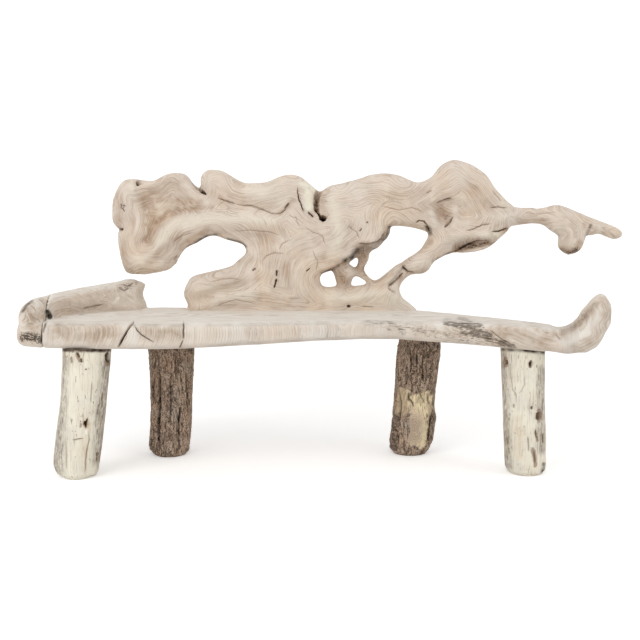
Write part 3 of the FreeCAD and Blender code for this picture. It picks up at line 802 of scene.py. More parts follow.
def noise(points, size, seed=0, layers=1):
    """Smooth noise from -1 to 1 whose lumps are about as large as size, in metres, on all or each axis."""
    total = np.zeros(len(points))
    weight = 1.0
    whole = 0.0
    for layer in range(layers):
        place = points / (np.array(size) / 2 ** layer) + 17.3 * layer
        cell = np.floor(place).astype(np.int64)
        inner = place - cell
        inner = inner * inner * (3 - 2 * inner)
        value = np.zeros(len(points))
        for corner in range(8):
            step = np.array(((corner >> 2) & 1, (corner >> 1) & 1, corner & 1))
            share = np.prod(np.where(step, inner, 1 - inner), axis=1)
            value += share * lattice(cell + step, seed + layer)
        total += weight * (2 * value - 1)
        whole += weight
        weight *= 0.5
    return total / whole


def rows_of(items, name, width, kind=float):
    """A value that each of a mesh's items holds, as rows of numbers."""
    held = np.empty(len(items) * width, dtype=kind)
    items.foreach_get(name, held)
    return held.reshape(-1, width)


class Timber:
    """A mesh that is held as arrays while it is carved and tinted."""

    def __init__(self, mesh):
        self.mesh = mesh
        self.points = rows_of(mesh.vertices, "co", 3)
        self.edges = rows_of(mesh.edges, "vertices", 2, np.int64)
        self.tints = {}
        self.refresh()

    def refresh(self):
        """Writes the points to the mesh, and reads its normals and its place in the picture anew."""
        self.mesh.vertices.foreach_set("co", self.points.astype(np.float32).ravel())
        self.mesh.update()
        self.normals = rows_of(self.mesh.vertex_normals, "vector", 3)
        sight = CAMERA_PLACE - self.points
        sight /= np.linalg.norm(sight, axis=1)[:, None]
        self.facing = (self.normals * sight).sum(1)
        self.pixels, self.depths = to_picture(self.points)

    def evened(self, values, rounds, shares=(STEP_IN,)):
        """Values averaged with their neighbours along the mesh's edges."""
        one, two = self.edges.T
        count = len(self.points)
        degree = np.maximum(np.bincount(one, minlength=count) + np.bincount(two, minlength=count), 1)
        for share in shares * rounds:
            sums = [np.bincount(one, column[two], count) + np.bincount(two, column[one], count)
                    for column in values.T]
            values = values + share * (np.stack(sums, 1) / degree[:, None] - values)
        return values

    def smooth(self, rounds, keep_size=True):
        shares = (STEP_IN, STEP_OUT) if keep_size else (STEP_IN,)
        self.points = self.evened(self.points, rounds, shares)
        self.refresh()

    def soften(self, reach, rounds, line):
        """Rounds the surface near a line in the picture."""
        weight = near(self.pixels, line, reach)[:, None]
        self.points = self.points + weight * (self.evened(self.points, rounds) - self.points)
        self.refresh()

    def swell(self, amount):
        """Moves the surface out by an amount at each vertex."""
        self.points += self.normals * amount[:, None]
        self.refresh()

    def close_to(self, line, width):
        """The vertices on the seen side that lie within a width of a line's box in the picture."""
        return np.nonzero(in_box(self.pixels, line, width) & (self.facing > TURNED_AWAY))[0]

    def seen(self, line, width):
        """The vertices on the seen side near a line in the picture, and their nearness from 0 to 1."""
        chosen = self.close_to(line, width)
        turned = soft_step(self.facing[chosen], TURNED_AWAY, FULLY_SEEN)
        return chosen, near(self.pixels[chosen], line, width) * turned

    def push(self, forms):
        """Broad forms, raised towards the viewer or set back."""
        for depth, width, line in forms:
            chosen, weight = self.seen(line, width)
            self.points[chosen, 1] += weight * depth / 1000
        self.refresh()

    def nudge(self, rows):
        """Local shifts in the picture, in pixels: how wide, how far across and down, and where."""
        for reach, move, drop, line in rows:
            weight = near(self.pixels, line, reach) * self.depths / CAMERA_FOCAL
            self.points[:, 0] += weight * move
            self.points[:, 2] -= weight * drop
        self.refresh()

    def crease(self, rows):
        """Narrow cracks that wander and taper: carved in, and noted for the colour to follow."""
        count = len(self.points)
        shift, strength, across = np.zeros(count), np.zeros(count), np.full(count, CRACK_REACH)
        for depth, width, dark, line in rows:
            half = CRACK_SHARE * width
            chosen = self.close_to(line, CRACK_SEARCH * half)
            points = self.points[chosen]
            wander = np.stack([noise(points, 0.012, seed, layers=2) for seed in (51, 52)], 1)
            side, along = line_side(self.pixels[chosen] + CRACK_WANDER * wander, line)
            taper = np.sqrt(soft_step(np.minimum(along, 1 - along), 0, CRACK_TAPER))
            uneven = 1 + 0.3 * noise(points, 0.02, seed=53, layers=2)
            here = side / (half * uneven * (0.3 + 0.7 * taper))
            weight = taper * soft_step(self.facing[chosen], TURNED_AWAY, 0.2)
            noted = dark * weight * soft_step(CRACK_REACH - np.abs(here), 0, 2)
            across[chosen] = np.where(noted > strength[chosen], here, across[chosen])
            strength[chosen] = np.maximum(strength[chosen], noted)
            profile = np.clip(1.5 - np.abs(here), 0, 1)
            shift[chosen] = np.maximum(shift[chosen], weight * profile * depth / 1000)
        self.points -= self.normals * shift[:, None]
        self.tints.update(crack=strength, crack_side=np.clip(across, -CRACK_REACH, CRACK_REACH))
        self.refresh()

    def lay_tints(self, tints):
        """Lays each tint's patches on the seen side, with ragged edges."""
        for name, rows in tints.items():
            layer = self.tints.setdefault(name, np.zeros(len(self.points)))
            for strength, width, line in rows:
                chosen, weight = self.seen(line, width)
                ragged = 1 + 0.7 * noise(self.points[chosen], 0.012, seed=31, layers=2)
                layer[chosen] = np.maximum(layer[chosen], np.clip(strength * weight * ragged, 0, 1))

    def note_hollows(self, rounds, reach):
        """Notes how far each vertex lies below the smoothed surface, for painted shade in the hollows, or
        above it, for painted highlights on the ridges.
        """
        apart = self.evened(self.points, rounds) - self.points
        sunk = np.clip((apart * self.normals).sum(1) / reach, -1, 1)
        self.tints.update(hollow=np.clip(sunk, 0, 1), worn=np.clip(-sunk, 0, 1))

    def write(self):
        """Stores the tints on the mesh, and shades it smooth."""
        for name, values in self.tints.items():
            layer = self.mesh.attributes.new(name, 'FLOAT', 'POINT')
            layer.data.foreach_set("value", values.astype(np.float32))
        return shaded_smooth(self.mesh)


# Meshes and pieces

@contextmanager
def opened(mesh, target=None):
    """A mesh's parts to edit. They are written back to it, or to a target mesh, at the end."""
    build = bmesh.new()
    build.from_mesh(mesh)
    yield build
    build.to_mesh(target or mesh)
    build.free()


def shaded_smooth(mesh):
    mesh.polygons.foreach_set("use_smooth", [True] * len(mesh.polygons))
    return mesh


def split_near(mesh, rows, rounds):
    """Splits the mesh's cells near each crack, so that the crack can be carved sharply."""
    for turn in range(rounds):
        timber = Timber(mesh)
        middles = timber.pixels[timber.edges].mean(1)
        seen = timber.facing[timber.edges].mean(1) > 2 * TURNED_AWAY
        split = np.zeros(len(middles), dtype=bool)
        for row in rows:
            width, line = row[1], row[3]
            reach = CRACK_SHARE * width * 2.2 + CRACK_WANDER + 1.2 - 0.7 * turn
            chosen = np.nonzero(in_box(middles, line, reach) & seen)[0]
            split[chosen] |= line_distance(middles[chosen], line) < reach
        with opened(mesh) as build:
            build.edges.ensure_lookup_table()
            edges = [build.edges[index] for index in np.nonzero(split)[0]]
            bmesh.ops.subdivide_edges(build, edges=edges, cuts=1, use_grid_fill=True)
    return mesh


def add_object(name, data):
    made = bpy.data.objects.new(name, data)
    bpy.context.scene.collection.objects.link(made)
    return made


def finished(piece):
    """The piece's mesh with its modifiers applied. The piece itself is taken away."""
    graph = bpy.context.evaluated_depsgraph_get()
    mesh = bpy.data.meshes.new_from_object(piece.evaluated_get(graph), depsgraph=graph)
    piece.modifiers.clear()
    bpy.data.objects.remove(piece)
    return mesh


def modified(mesh, kind, **settings):
    """The mesh as one modifier leaves it."""
    piece = add_object("working piece", mesh)
    modifier = piece.modifiers.new("Working step", kind)
    for name, value in settings.items():
        setattr(modifier, name, value)
    return finished(piece)


def regrained(mesh, grid):
    """The mesh covered anew with even cells, so that it can be carved."""
    even = modified(mesh, 'REMESH', mode='VOXEL', voxel_size=grid)
    even.materials.clear()
    return even


def thinned(mesh):
    """The mesh with its even stretches thinned until it has few enough triangles."""
    count = sum(len(face.vertices) - 2 for face in mesh.polygons)
    return modified(mesh, 'DECIMATE', ratio=min(1.0, MOST_TRIANGLES / count))


def copied(node):
    """A closed copy of a node's mesh."""
    mesh = bpy.data.meshes.new(node)
    with opened(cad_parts[node].data, mesh) as build:
        bmesh.ops.remove_doubles(build, verts=build.verts, dist=WELD)
    return mesh


def place_piece(name, mesh, node, material):
    """Puts a finished piece in a node's place, just inside the CAD's box."""
    low, high = np.array(cad_box)
    places = np.clip(rows_of(mesh.vertices, "co", 3), low + BOX_MARGIN * (low != 0), high - BOX_MARGIN)
    mesh.vertices.foreach_set("co", places.ravel())
    mesh.name = name
    piece = add_object(name, mesh)
    mesh.materials.clear()
    mesh.materials.append(material)
    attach(piece, "root")
    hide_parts(node)


# Shader nodes

class Graph:
    """A short way to place and join the nodes of a material or a node group."""

    def __init__(self, tree):
        self.tree = tree

    def node(self, kind, inputs=None, **settings):
        made = self.tree.nodes.new(kind)
        for name, value in settings.items():
            setattr(made, name, value)
        for name, value in (inputs or {}).items():
            self.feed(made.inputs[name], value)
        return made

    def found(self, kind):
        """The first node of a kind."""
        return next(node for node in self.tree.nodes if node.type == kind)

    def feed(self, socket, value):
        if isinstance(value, bpy.types.NodeSocket):
            self.tree.links.new(value, socket)
        elif socket.type == 'RGBA':
            socket.default_value = (*value[:3], 1)
        else:
            socket.default_value = value

    def math(self, operation, one, two=0.0):
        return self.node('ShaderNodeMath', {0: one, 1: two}, operation=operation).outputs[0]

    def plus(self, one, two):
        return self.math('ADD', one, two)

    def times(self, one, two):
        return self.math('MULTIPLY', one, two)

    def swing(self, value, reach):
        """A value from 0 to 1 made to swing to both sides of nought."""
        return self.times(self.math('SUBTRACT', value, 0.5), reach)

    def total(self, *parts):
        """The sum of values, each times its share."""
        terms = [self.times(value, share) for value, share in parts]
        total = terms[0]
        for term in terms[1:]:
            total = self.plus(total, term)
        return total

    def vector(self, operation, one, two):
        return self.node('ShaderNodeVectorMath', {0: one, 1: two}, operation=operation).outputs[0]

    def mix(self, share, one, two):
        return self.node('ShaderNodeMix', {0: share, 6: one, 7: two}, data_type='RGBA').outputs[2]

    def layers(self, colour, rows):
        """Tones laid over a colour one after the other: where each one's mask says, how strong, and which."""
        for mask, strength, tone in rows:
            mask = self.field(mask) if isinstance(mask, str) else mask
            colour = self.mix(mask if strength == 1 else self.times(mask, strength), colour, tone)
        return colour

    def span(self, value, low, high, start=0.0, end=1.0):
        return self.node('ShaderNodeMapRange', {0: value, 1: low, 2: high, 3: start, 4: end},
                         interpolation_type='SMOOTHSTEP').outputs[0]

    def noise(self, place, scale, detail=2.0, rough=0.5, warp=0.0):
        return self.node('ShaderNodeTexNoise', {
            'Vector': place, 'Scale': scale, 'Detail': detail, 'Roughness': rough,
            'Distortion': warp}).outputs[0]

    def streaks(self, place, scale, detail, rough):
        """Noise that is drawn out along one way."""
        drawn = self.node('ShaderNodeMapping', {'Vector': place, 'Scale': scale}).outputs[0]
        return self.noise(drawn, 1.0, detail, rough)

    def field(self, name):
        """A tint that is stored on the mesh."""
        return self.node('ShaderNodeAttribute', attribute_name=name).outputs['Fac']

    def place(self):
        return self.node('ShaderNodeTexCoord').outputs['Object']

    def group(self, name, inputs):
        return self.node('ShaderNodeGroup', inputs, node_tree=bpy.data.node_groups[name]).outputs

    def seen(self):
        """1 for rays from the camera, mirrors and glass, and 0 for the light on the object."""
        path = self.node('ShaderNodeLightPath').outputs
        mirrored = self.math('MAXIMUM', path['Is Glossy Ray'], path['Is Transmission Ray'])
        return self.math('MAXIMUM', path['Is Camera Ray'], mirrored)


def shader_group(name, inputs, outputs):
    """An empty node group with its sockets, each input with a default value."""
    tree = bpy.data.node_groups.new(name, 'ShaderNodeTree')
    kinds = {float: 'NodeSocketFloat', tuple: 'NodeSocketVector'}
    for label, value in inputs.items():
        socket = tree.interface.new_socket(label, in_out='INPUT', socket_type=kinds[type(value)])
        socket.default_value = value
    for label in outputs:
        tree.interface.new_socket(label, in_out='OUTPUT', socket_type='NodeSocketFloat')
    graph = Graph(tree)
    return graph, graph.node('NodeGroupInput').outputs, graph.node('NodeGroupOutput').inputs


def make_growth_rings():
    """Fine lines where the growth rings come to the surface."""
    graph, given, result = shader_group(
        "Growth rings", {"Place": (0.0, 0.0, 0.0), "Depth": 0.0, "Gap": 0.006, "Wander": 0.004},
        ["Line", "Relief"])
    shift = graph.swing(graph.noise(given["Place"], 16.0, 3.0), given["Wander"])
    turns = graph.math('DIVIDE', graph.plus(given["Depth"], shift), given["Gap"])
    wave = graph.math('SINE', graph.times(turns, 2 * math.pi))
    fade = graph.span(graph.noise(given["Place"], 22.0, 2.0), 0.32, 0.62)
    graph.feed(result["Line"], graph.times(graph.span(wave, 0.15, 1.0), fade))
    graph.feed(result["Relief"], graph.times(wave, fade))


def make_weathering():
    """Broad uneven tone, small specks and a fine dry fuzz."""
    graph, given, result = shader_group(
        "Weathering", {"Place": (0.0, 0.0, 0.0), "Patch scale": 9.0, "Fuzz scale": 420.0},
        ["Warm", "Grey", "Speck", "Fuzz"])
    place, patch = given["Place"], given["Patch scale"]
    aside = graph.vector('ADD', place, (3.1, 7.7, 5.3))
    graph.feed(result["Warm"], graph.span(graph.noise(place, patch, 4.0, 0.55), 0.40, 0.66))
    graph.feed(result["Grey"], graph.span(graph.noise(aside, patch, 5.0, 0.6), 0.45, 0.70))
    graph.feed(result["Speck"], graph.span(graph.noise(aside, 160.0, 2.0, 0.6), 0.60, 0.74))
    graph.feed(result["Fuzz"], graph.noise(place, given["Fuzz scale"], 3.0, 0.7))


def make_fibre():
    """Long fine fibres and hairline checks that run with the grain."""
    graph, given, result = shader_group(
        "Fibre", {"Place": (0.0, 0.0, 0.0), "Grain": (12.0, 120.0, 120.0)}, ["Fibre", "Check"])
    along = graph.vector('MULTIPLY', given["Place"], given["Grain"])
    ridge = graph.noise(graph.vector('MULTIPLY', along, (0.42, 0.42, 0.42)), 1.0, 2.0, 0.5, 0.6)
    split = graph.math('ABSOLUTE', graph.math('SUBTRACT', ridge, 0.5))
    rare = graph.span(graph.noise(given["Place"], 14.0, 2.0), 0.50, 0.64)
    graph.feed(result["Fibre"], graph.noise(along, 1.0, 4.0, 0.65, 0.3))
    graph.feed(result["Check"], graph.times(graph.span(split, 0.016, 0.0), rare))


def start_material(name):
    material = bpy.data.materials.new(name)
    material.use_nodes = True
    graph = Graph(material.node_tree)
    shader = graph.found('BSDF_PRINCIPLED').inputs
    shader['Roughness'].default_value = 0.85
    shader['Specular IOR Level'].default_value = 0.25
    return material, graph, shader


def finish_material(graph, shader, colour, rough, height, strength, reach):
    """Joins a material's colour, roughness and bump to its shader."""
    bump = graph.node('ShaderNodeBump', {'Height': height, 'Strength': strength, 'Distance': reach})
    for name, value in (('Base Color', colour), ('Roughness', rough), ('Normal', bump.outputs[0])):
        graph.feed(shader[name], value)


def crack_line(graph, place):
    """The open line of the carved cracks, thin and uneven, and the soft tone on both sides of it."""
    rough = graph.swing(graph.noise(place, 260.0, 3.0, 0.6), 1.1)
    side = graph.math('ABSOLUTE', graph.plus(graph.field("crack_side"), rough))
    crack = graph.field("crack")
    return graph.times(graph.span(side, 1.15, 0.35), crack), graph.times(graph.span(side, 3.4, 0.6), crack)


def dry_wood(name, tones, gap, wander, line_strength, grey_strength):
    """Bare, bleached wood: rings and fibres over an uneven tone, with stains and cracks, painted shade in
    hollows and gaps, and painted light on ridges and upward faces.
    """
    material, graph, shader = start_material(name)
    place = graph.place()
    weather = graph.group("Weathering", {"Place": place})
    rings = graph.group("Growth rings", {
        "Place": place, "Depth": graph.field("ring"), "Gap": gap, "Wander": wander})
    spot = graph.node('ShaderNodeSeparateXYZ', {0: place}).outputs
    flow = graph.node('ShaderNodeCombineXYZ', {0: spot[0], 1: graph.field("ring"), 2: spot[2]})
    fibre = graph.group("Fibre", {"Place": flow.outputs[0], "Grain": (13.0, 270.0, 13.0)})
    # Brown stains, with painted shade in the hollows laid on in the same brown
    brown = graph.math('MAXIMUM', graph.field("brown"), graph.times(graph.field("hollow"), 0.85))
    broken = graph.plus(fibre["Fibre"], graph.times(weather["Fuzz"], 0.4))
    brown = graph.times(brown, graph.span(broken, 0.52, 0.84, 0.45, 1.0))
    stain = graph.field("stain")
    ragged = graph.plus(stain, graph.swing(graph.streaks(place, (30.0, 360.0, 360.0), 4.0, 0.7), 3.0))
    stain = graph.times(graph.span(ragged, 0.30, 1.0), graph.span(stain, 0.02, 0.30))
    rot = graph.field("rot")
    pitted = graph.plus(rot, graph.swing(graph.noise(place, 210.0, 3.0, 0.7), 3.2))
    pits = graph.times(graph.span(pitted, 0.35, 1.15), graph.span(rot, 0.05, 0.4))
    core, halo = crack_line(graph, place)
    # Painted shade from the dark tint: in gaps, holes and along undersides
    dark = graph.times(graph.field("dark"), graph.span(weather["Fuzz"], 0.2, 0.6, 0.5, 1.0))
    layers = [
        (weather["Warm"], 0.75, "warm"),
        (weather["Grey"], grey_strength, "grey"),
        # Upward faces lighter and greyer: partly weathering, partly painted light from above
        ("greyed", 0.75, "grey"),
        (rings["Line"], line_strength, "line"),
        (graph.span(fibre["Fibre"], 0.46, 0.70), 0.52, "line"),
        (graph.span(fibre["Fibre"], 0.46, 0.28), 0.40, "pale"),
        (brown, 0.85, "brown"),
        # Painted highlight on the ridges
        ("worn", 0.35, "pale"),
        ("pale", 1, "pale"),
        (stain, 0.90, "stain"),
        (weather["Speck"], 0.16, "brown"),
        (fibre["Check"], 0.32, "dark"),
        (rot, 0.55, "brown"),
        (pits, 0.92, "dark"),
        (halo, 0.45, "brown"),
        (core, 1, "dark"),
        (dark, 1, "dark"),
    ]
    colour = graph.layers(tones["base"], [(mask, strength, tones[tone]) for mask, strength, tone in layers])
    height = graph.total((rings["Relief"], 0.30), (fibre["Fibre"], 1.1), (weather["Fuzz"], 0.35),
                         (fibre["Check"], -0.8), (pits, -1.2))
    rough = graph.span(weather["Fuzz"], 0.3, 0.7, 0.74, 0.94)
    finish_material(graph, shader, colour, rough, height, 0.6, 0.0012)
    return material


# Settings that a user would change

class RootSettings(PropertyGroup):
    grid: FloatProperty(name="Surface grid", description="Size of the cells that cover the root",
                        default=0.0038, min=0.002, max=0.01, unit='LENGTH')
    ring_gap: FloatProperty(name="Ring gap", description="Depth from one growth ring to the next",
                            default=0.0058, min=0.001, max=0.05, unit='LENGTH')
    base: FloatVectorProperty(name="Wood", description="Main colour of the bleached root",
                              default=shade(221, 208, 195), size=3, min=0, max=1, subtype='COLOR')
    line: FloatVectorProperty(name="Ring line", description="Colour of the growth rings",
                              default=shade(176, 150, 128), size=3, min=0, max=1, subtype='COLOR')
    # Also the colour of the painted shade in the root's hollows
    stain: FloatVectorProperty(name="Hollows", description="Colour of the stained hollows",
                               default=shade(162, 132, 106), size=3, min=0, max=1, subtype='COLOR')


class PlankSettings(PropertyGroup):
    grid: FloatProperty(name="Surface grid", description="Size of the cells that cover the plank",
                        default=0.0046, min=0.002, max=0.01, unit='LENGTH')
    ring_gap: FloatProperty(name="Ring gap", description="Depth from one growth ring to the next",
                            default=0.0075, min=0.001, max=0.05, unit='LENGTH')
    base: FloatVectorProperty(name="Wood", description="Main colour of the weathered plank",
                              default=shade(225, 214, 201), size=3, min=0, max=1, subtype='COLOR')
    # Also the colour of the painted shade in the plank's hollows
    stain: FloatVectorProperty(name="Stains", description="Colour of the plank's brown stains",
                               default=shade(166, 142, 118), size=3, min=0, max=1, subtype='COLOR')


class LegSettings(PropertyGroup):
    grid: FloatProperty(name="Surface grid", description="Size of the cells that cover a leg",
                        default=0.0026, min=0.0015, max=0.01, unit='LENGTH')
    peeled: FloatVectorProperty(name="Peeled wood", description="Main colour of the peeled front legs",
                                default=shade(238, 232, 214), size=3, min=0, max=1, subtype='COLOR')
    bark: FloatVectorProperty(name="Bark", description="Main colour of the rear legs' bark",
                              default=shade(184, 160, 140), size=3, min=0, max=1, subtype='COLOR')
    bark_depth: FloatProperty(name="Bark relief", description="Depth of the furrows in the bark",
                              default=0.0034, min=0, max=0.02, unit='LENGTH')
    flakes: IntProperty(name="Bark flakes", description="Number of loose flakes on each rear leg",
                        default=420, min=0, max=2000)
    seed: IntProperty(name="Seed", description="Chooses where the flakes lie", default=7, min=0)


class StageSettings(PropertyGroup):
    floor: FloatVectorProperty(name="Floor", description="Colour of the floor and backdrop",
                               default=(0.90, 0.90, 0.90), size=3, min=0, max=1, subtype='COLOR')
    key: FloatProperty(name="Key light", description="Power of the soft light from the front left",
                       default=66.0, min=0, unit='POWER')
    fill: FloatProperty(name="Fill light", description="Strength of the even light from all round",
                        default=0.78, min=0)


# The root

def inside_outline(places, loops):
    """Whether each place lies inside the first loop and outside the others."""
    inside = np.zeros(len(places), dtype=bool)
    for loop in loops:
        ends = np.array(loop)
        for (x1, z1), (x2, z2) in zip(ends, np.roll(ends, -1, axis=0)):
            if z1 != z2:
                crosses = (places[:, 1] > z1) != (places[:, 1] > z2)
                at = x1 + (places[:, 1] - z1) * (x2 - x1) / (z2 - z1)
                inside ^= crosses & (places[:, 0] < at)
    return inside


def root_discs(loops, step):
    """The largest discs that fit inside the outline, as middles and radii: the limbs' own thickness."""
    ends = np.array(loops[0])
    low, high = ends.min(0), ends.max(0)
    across, up = np.meshgrid(np.arange(low[0], high[0], step), np.arange(low[1], high[1], step))
    middles = np.stack((across.ravel(), up.ravel()), 1)
    middles = middles[inside_outline(middles, loops)]
    radii = np.full(len(middles), FAR)
    for loop in loops:
        radii = np.minimum(radii, line_distance(middles, loop + loop[:1]))
    kept, sizes = [], []
    for index in np.argsort(-radii):
        if radii[index] < step * 0.6:
            break
        if kept:
            apart = np.hypot(*(np.array(kept) - middles[index]).T)
            if np.any(apart + radii[index] * 0.97 < np.array(sizes)):
                continue
        kept.append(middles[index])
        sizes.append(radii[index])
    return kept, sizes


def flat_root(loops):
    """The root's outline as a thick board with its windows open."""
    curve = bpy.data.curves.new("root board", 'CURVE')
    curve.dimensions = '2D'
    curve.fill_mode = 'BOTH'
    curve.extrude = ROOT_REACH
    for loop in loops:
        spline = curve.splines.new('POLY')
        spline.points.add(len(loop) - 1)
        spline.points.foreach_set("co", [value for x, z in loop for value in (x, z, 0, 1)])
        spline.use_cyclic_u = True
    return finished(add_object("root board", curve))


def carve_root(settings):
    """The root's body: a board cut to its outline, swollen to its limbs' thickness and given its forms."""
    loops = [[on_root_sheet(pixel) for pixel in loop] for loop in ROOT_LOOPS]
    board = Timber(regrained(flat_root(loops), settings.grid * BOARD_GRID))
    places = board.points[:, :2]
    swell = np.zeros(len(places))
    for middle, radius in zip(*root_discs(loops, DISC_STEP)):
        swell = np.maximum(swell, radius * radius - ((places - middle) ** 2).sum(1))
    swell = np.sqrt(swell)
    thick = ROOT_REACH * np.tanh(swell / ROOT_REACH * ROOT_FULLNESS) * 0.98
    side = board.points[:, 2] / ROOT_REACH
    x, z = places.T
    sheet = root_sheet_y(z)
    thin = np.clip(1 - swell / THIN_LIMB, 0, 1)
    pixels = to_picture(np.stack((x, sheet, z), 1))[0]
    twig = soft_step(1 - line_distance(pixels, TWIG_LINE) / TWIG_WIDTH, 0, 0.8)
    setback = TWIG_SETBACK * twig + 0.004 * noise(board.points, 0.2, seed=5) * (1 - thin)
    board.points = np.stack((x, sheet + setback - side * thick, z), 1)
    board.refresh()
    with opened(board.mesh) as build:
        bmesh.ops.recalc_face_normals(build, faces=build.faces)
    root = Timber(regrained(board.mesh, settings.grid))
    root.smooth(4, keep_size=False)
    root.smooth(5)
    root.push(ROOT_FORMS)
    root.smooth(2)
    lumps = 0.0035 * noise(root.points, (0.09, 0.06, 0.07), seed=3, layers=3)
    lumps = lumps + 0.0012 * noise(root.points, 0.03, seed=8, layers=2)
    behind = soft_step(root.normals[:, 1], 0.2, 0.8)
    folds = 0.5 + 0.5 * noise(root.points, (0.13, 0.3, 0.08), seed=35, layers=3)
    root.swell(lumps - BACK_FOLDS * behind * folds)
    return root.mesh


def footed(mesh):
    """The root's mesh cut flat where it stands on the plank, and closed there."""
    with opened(mesh) as build:
        cut = bmesh.ops.bisect_plane(build, geom=build.verts[:] + build.edges[:] + build.faces[:],
                                     plane_co=(0, 0, SEAT_TOP - FOOT_BED), plane_no=(0, 0, -1),
                                     clear_outer=True)
        rim = [edge for edge in cut['geom_cut'] if isinstance(edge, bmesh.types.BMEdge)]
        bmesh.ops.holes_fill(build, edges=rim)
        bmesh.ops.triangulate(build, faces=[face for face in build.faces if len(face.verts) > 4])
    return mesh


def grain_depth(points):
    """How deep the root's grain lies, counted from its outline inwards, so that it runs along each limb."""
    inward = np.full(len(points), FAR)
    for pixels in ROOT_LOOPS:
        loop = [on_root_sheet(pixel) for pixel in pixels + pixels[:1]]
        inward = np.minimum(inward, line_distance(points[:, [0, 2]], loop))
    depth = points[:, 1] - root_sheet_y(points[:, 2])
    ring = inward + 0.5 * depth + 0.034 * noise(points, (0.16, 0.2, 0.13), seed=21)
    return ring + 0.010 * noise(points, 0.05, seed=22)


class BENCH_OT_root(Operator):
    """Carves the root that stands along the rear edge as the back"""
    bl_idname = "bench.root"
    bl_label = "Carve back root"

    def execute(self, context):
        settings = context.scene.bench_root
        root = Timber(split_near(footed(carve_root(settings)), ROOT_CREASES, 2))
        ring = grain_depth(root.points)
        along = np.stack((root.points[:, 0], ring, root.points[:, 2]), 1)
        free = soft_step(root.points[:, 2], SEAT_TOP, SEAT_TOP + 0.01)
        root.swell(0.0011 * noise(along, (0.10, 0.011, 0.10), seed=27, layers=2) * free)
        root.note_hollows(12, 0.0026)
        root.crease(ROOT_CREASES)
        root.lay_tints(ROOT_TINTS)
        root.tints["ring"] = ring
        # The dark tone colours the cracks, pits and painted shade; the stain colour also paints the shade in
        # hollows
        tones = {
            "base": settings.base, "line": settings.line, "brown": settings.stain,
            "warm": shade(222, 203, 182), "grey": shade(206, 198, 188), "pale": shade(233, 226, 208),
            "dark": shade(38, 29, 22), "stain": settings.stain}
        material = dry_wood("Bleached root wood", tones, settings.ring_gap, 0.004, 0.38, 0.45)
        place_piece("back_root_carved", thinned(root.write()), "back_root", material)
        return {'FINISHED'}


# The plank and its end limb

def plank_rings(timber, horn):
    """Ring depth: along the plank, in arcs on its front face, and lengthwise on the horn."""
    points = timber.points
    across, down = timber.pixels.T
    pith = np.hypot(points[:, 1] - 0.02 * np.sin(points[:, 0] * 3), (points[:, 2] - PITH_HEIGHT) * 0.9)
    ring = pith + 0.020 * noise(points, (0.30, 0.12, 0.12), seed=23)
    ring = ring + 0.006 * noise(points, (0.08, 0.05, 0.05), seed=24)
    arcs = (across + ARC_BEND * (down - ARC_MIDDLE) ** 2) * PIXEL_SIZE
    arcs = arcs + 0.006 * noise(points, (0.10, 0.05, 0.06), seed=25)
    front = soft_step(-timber.normals[:, 1], 0.35, 0.8)
    front = front * (1 - soft_step(across, *ARCS_END)) * soft_step(across, *ARCS_START)
    ring = ring * (1 - front) + arcs * front
    lengthwise = line_side(timber.pixels, HORN_LINE)[0] * PIXEL_SIZE + 0.4 * points[:, 1]
    lengthwise = 0.7 * lengthwise + 0.022 * noise(points, (0.07, 0.05, 0.05), seed=26, layers=2)
    return ring * (1 - horn) + lengthwise * horn


def carve_plank_piece(node, settings, forms, nudges, creases, tints):
    """The plank or its end limb, rounded, drawn to the photograph's outline, cracked and stained."""
    timber = Timber(regrained(copied(node), settings.grid))
    timber.smooth(7)
    for row in ROUNDED_ENDS:
        timber.soften(*row)
    timber.nudge(nudges)
    timber.push(forms)
    timber.swell(0.0016 * noise(timber.points, (0.10, 0.06, 0.06), seed=13, layers=3) - 0.0006)
    timber = Timber(split_near(timber.mesh, creases, 2))
    timber.note_hollows(14, 0.003)
    timber.crease(creases)
    timber.lay_tints(tints)
    horn = soft_step(timber.pixels[:, 0], *HORN_START)
    # Upward faces are painted lighter and greyer: partly weathering, partly painted light from above. The
    # horn gets its own weathered grey.
    greyed = np.maximum(soft_step(timber.normals[:, 2], 0.5, 0.9), 0.35 * horn)
    timber.tints.update(ring=plank_rings(timber, horn), greyed=greyed)
    return timber.write()


class BENCH_OT_plank(Operator):
    """Carves the live-edge plank with its rim and horn, and the limb joined to its left end"""
    bl_idname = "bench.plank"
    bl_label = "Carve plank and end limb"

    def execute(self, context):
        settings = context.scene.bench_plank
        # The dark tone colours the cracks, pits and painted shade; the stain colour also paints the shade in
        # hollows
        tones = {
            "base": settings.base, "brown": settings.stain, "line": shade(196, 178, 160),
            "warm": shade(218, 201, 184), "grey": shade(230, 226, 219), "pale": shade(236, 230, 218),
            "dark": shade(36, 29, 24), "stain": shade(104, 92, 80)}
        material = dry_wood("Weathered plank wood", tones, settings.ring_gap, 0.003, 0.55, 0.6)
        seat = carve_plank_piece("seat_slab", settings, SEAT_FORMS, SEAT_NUDGES, SEAT_CREASES, SEAT_TINTS)
        place_piece("seat_plank_carved", thinned(seat), "seat_slab", material)
        end = carve_plank_piece("end_limb", settings, [], END_NUDGES, END_CREASES, END_TINTS)
        place_piece("end_limb_carved", end, "end_limb", material)
        return {'FINISHED'}


# The legs

def fit_sides(timber, rows):
    """Draws a log's sides in or out until they meet the left and right edges given down the picture."""
    heights, new_left, new_right = np.array(rows).T
    across, down = timber.pixels.T
    lefts, rights, middles = [], [], []
    for low in np.arange(heights[0], heights[-1] + EDGE_STEP, EDGE_STEP):
        chosen = np.abs(down - low) < EDGE_BAND
        if chosen.any():
            lefts.append(across[chosen].min())
            rights.append(across[chosen].max())
            middles.append(low)
    left = np.interp(down, middles, lefts)
    right = np.interp(down, middles, rights)
    new_left = np.interp(down, heights, new_left)
    new_right = np.interp(down, heights, new_right)
    moved = new_left + (across - left) / (right - left) * (new_right - new_left) - across
    timber.points[:, 0] += moved * timber.depths / CAMERA_FOCAL
    timber.refresh()


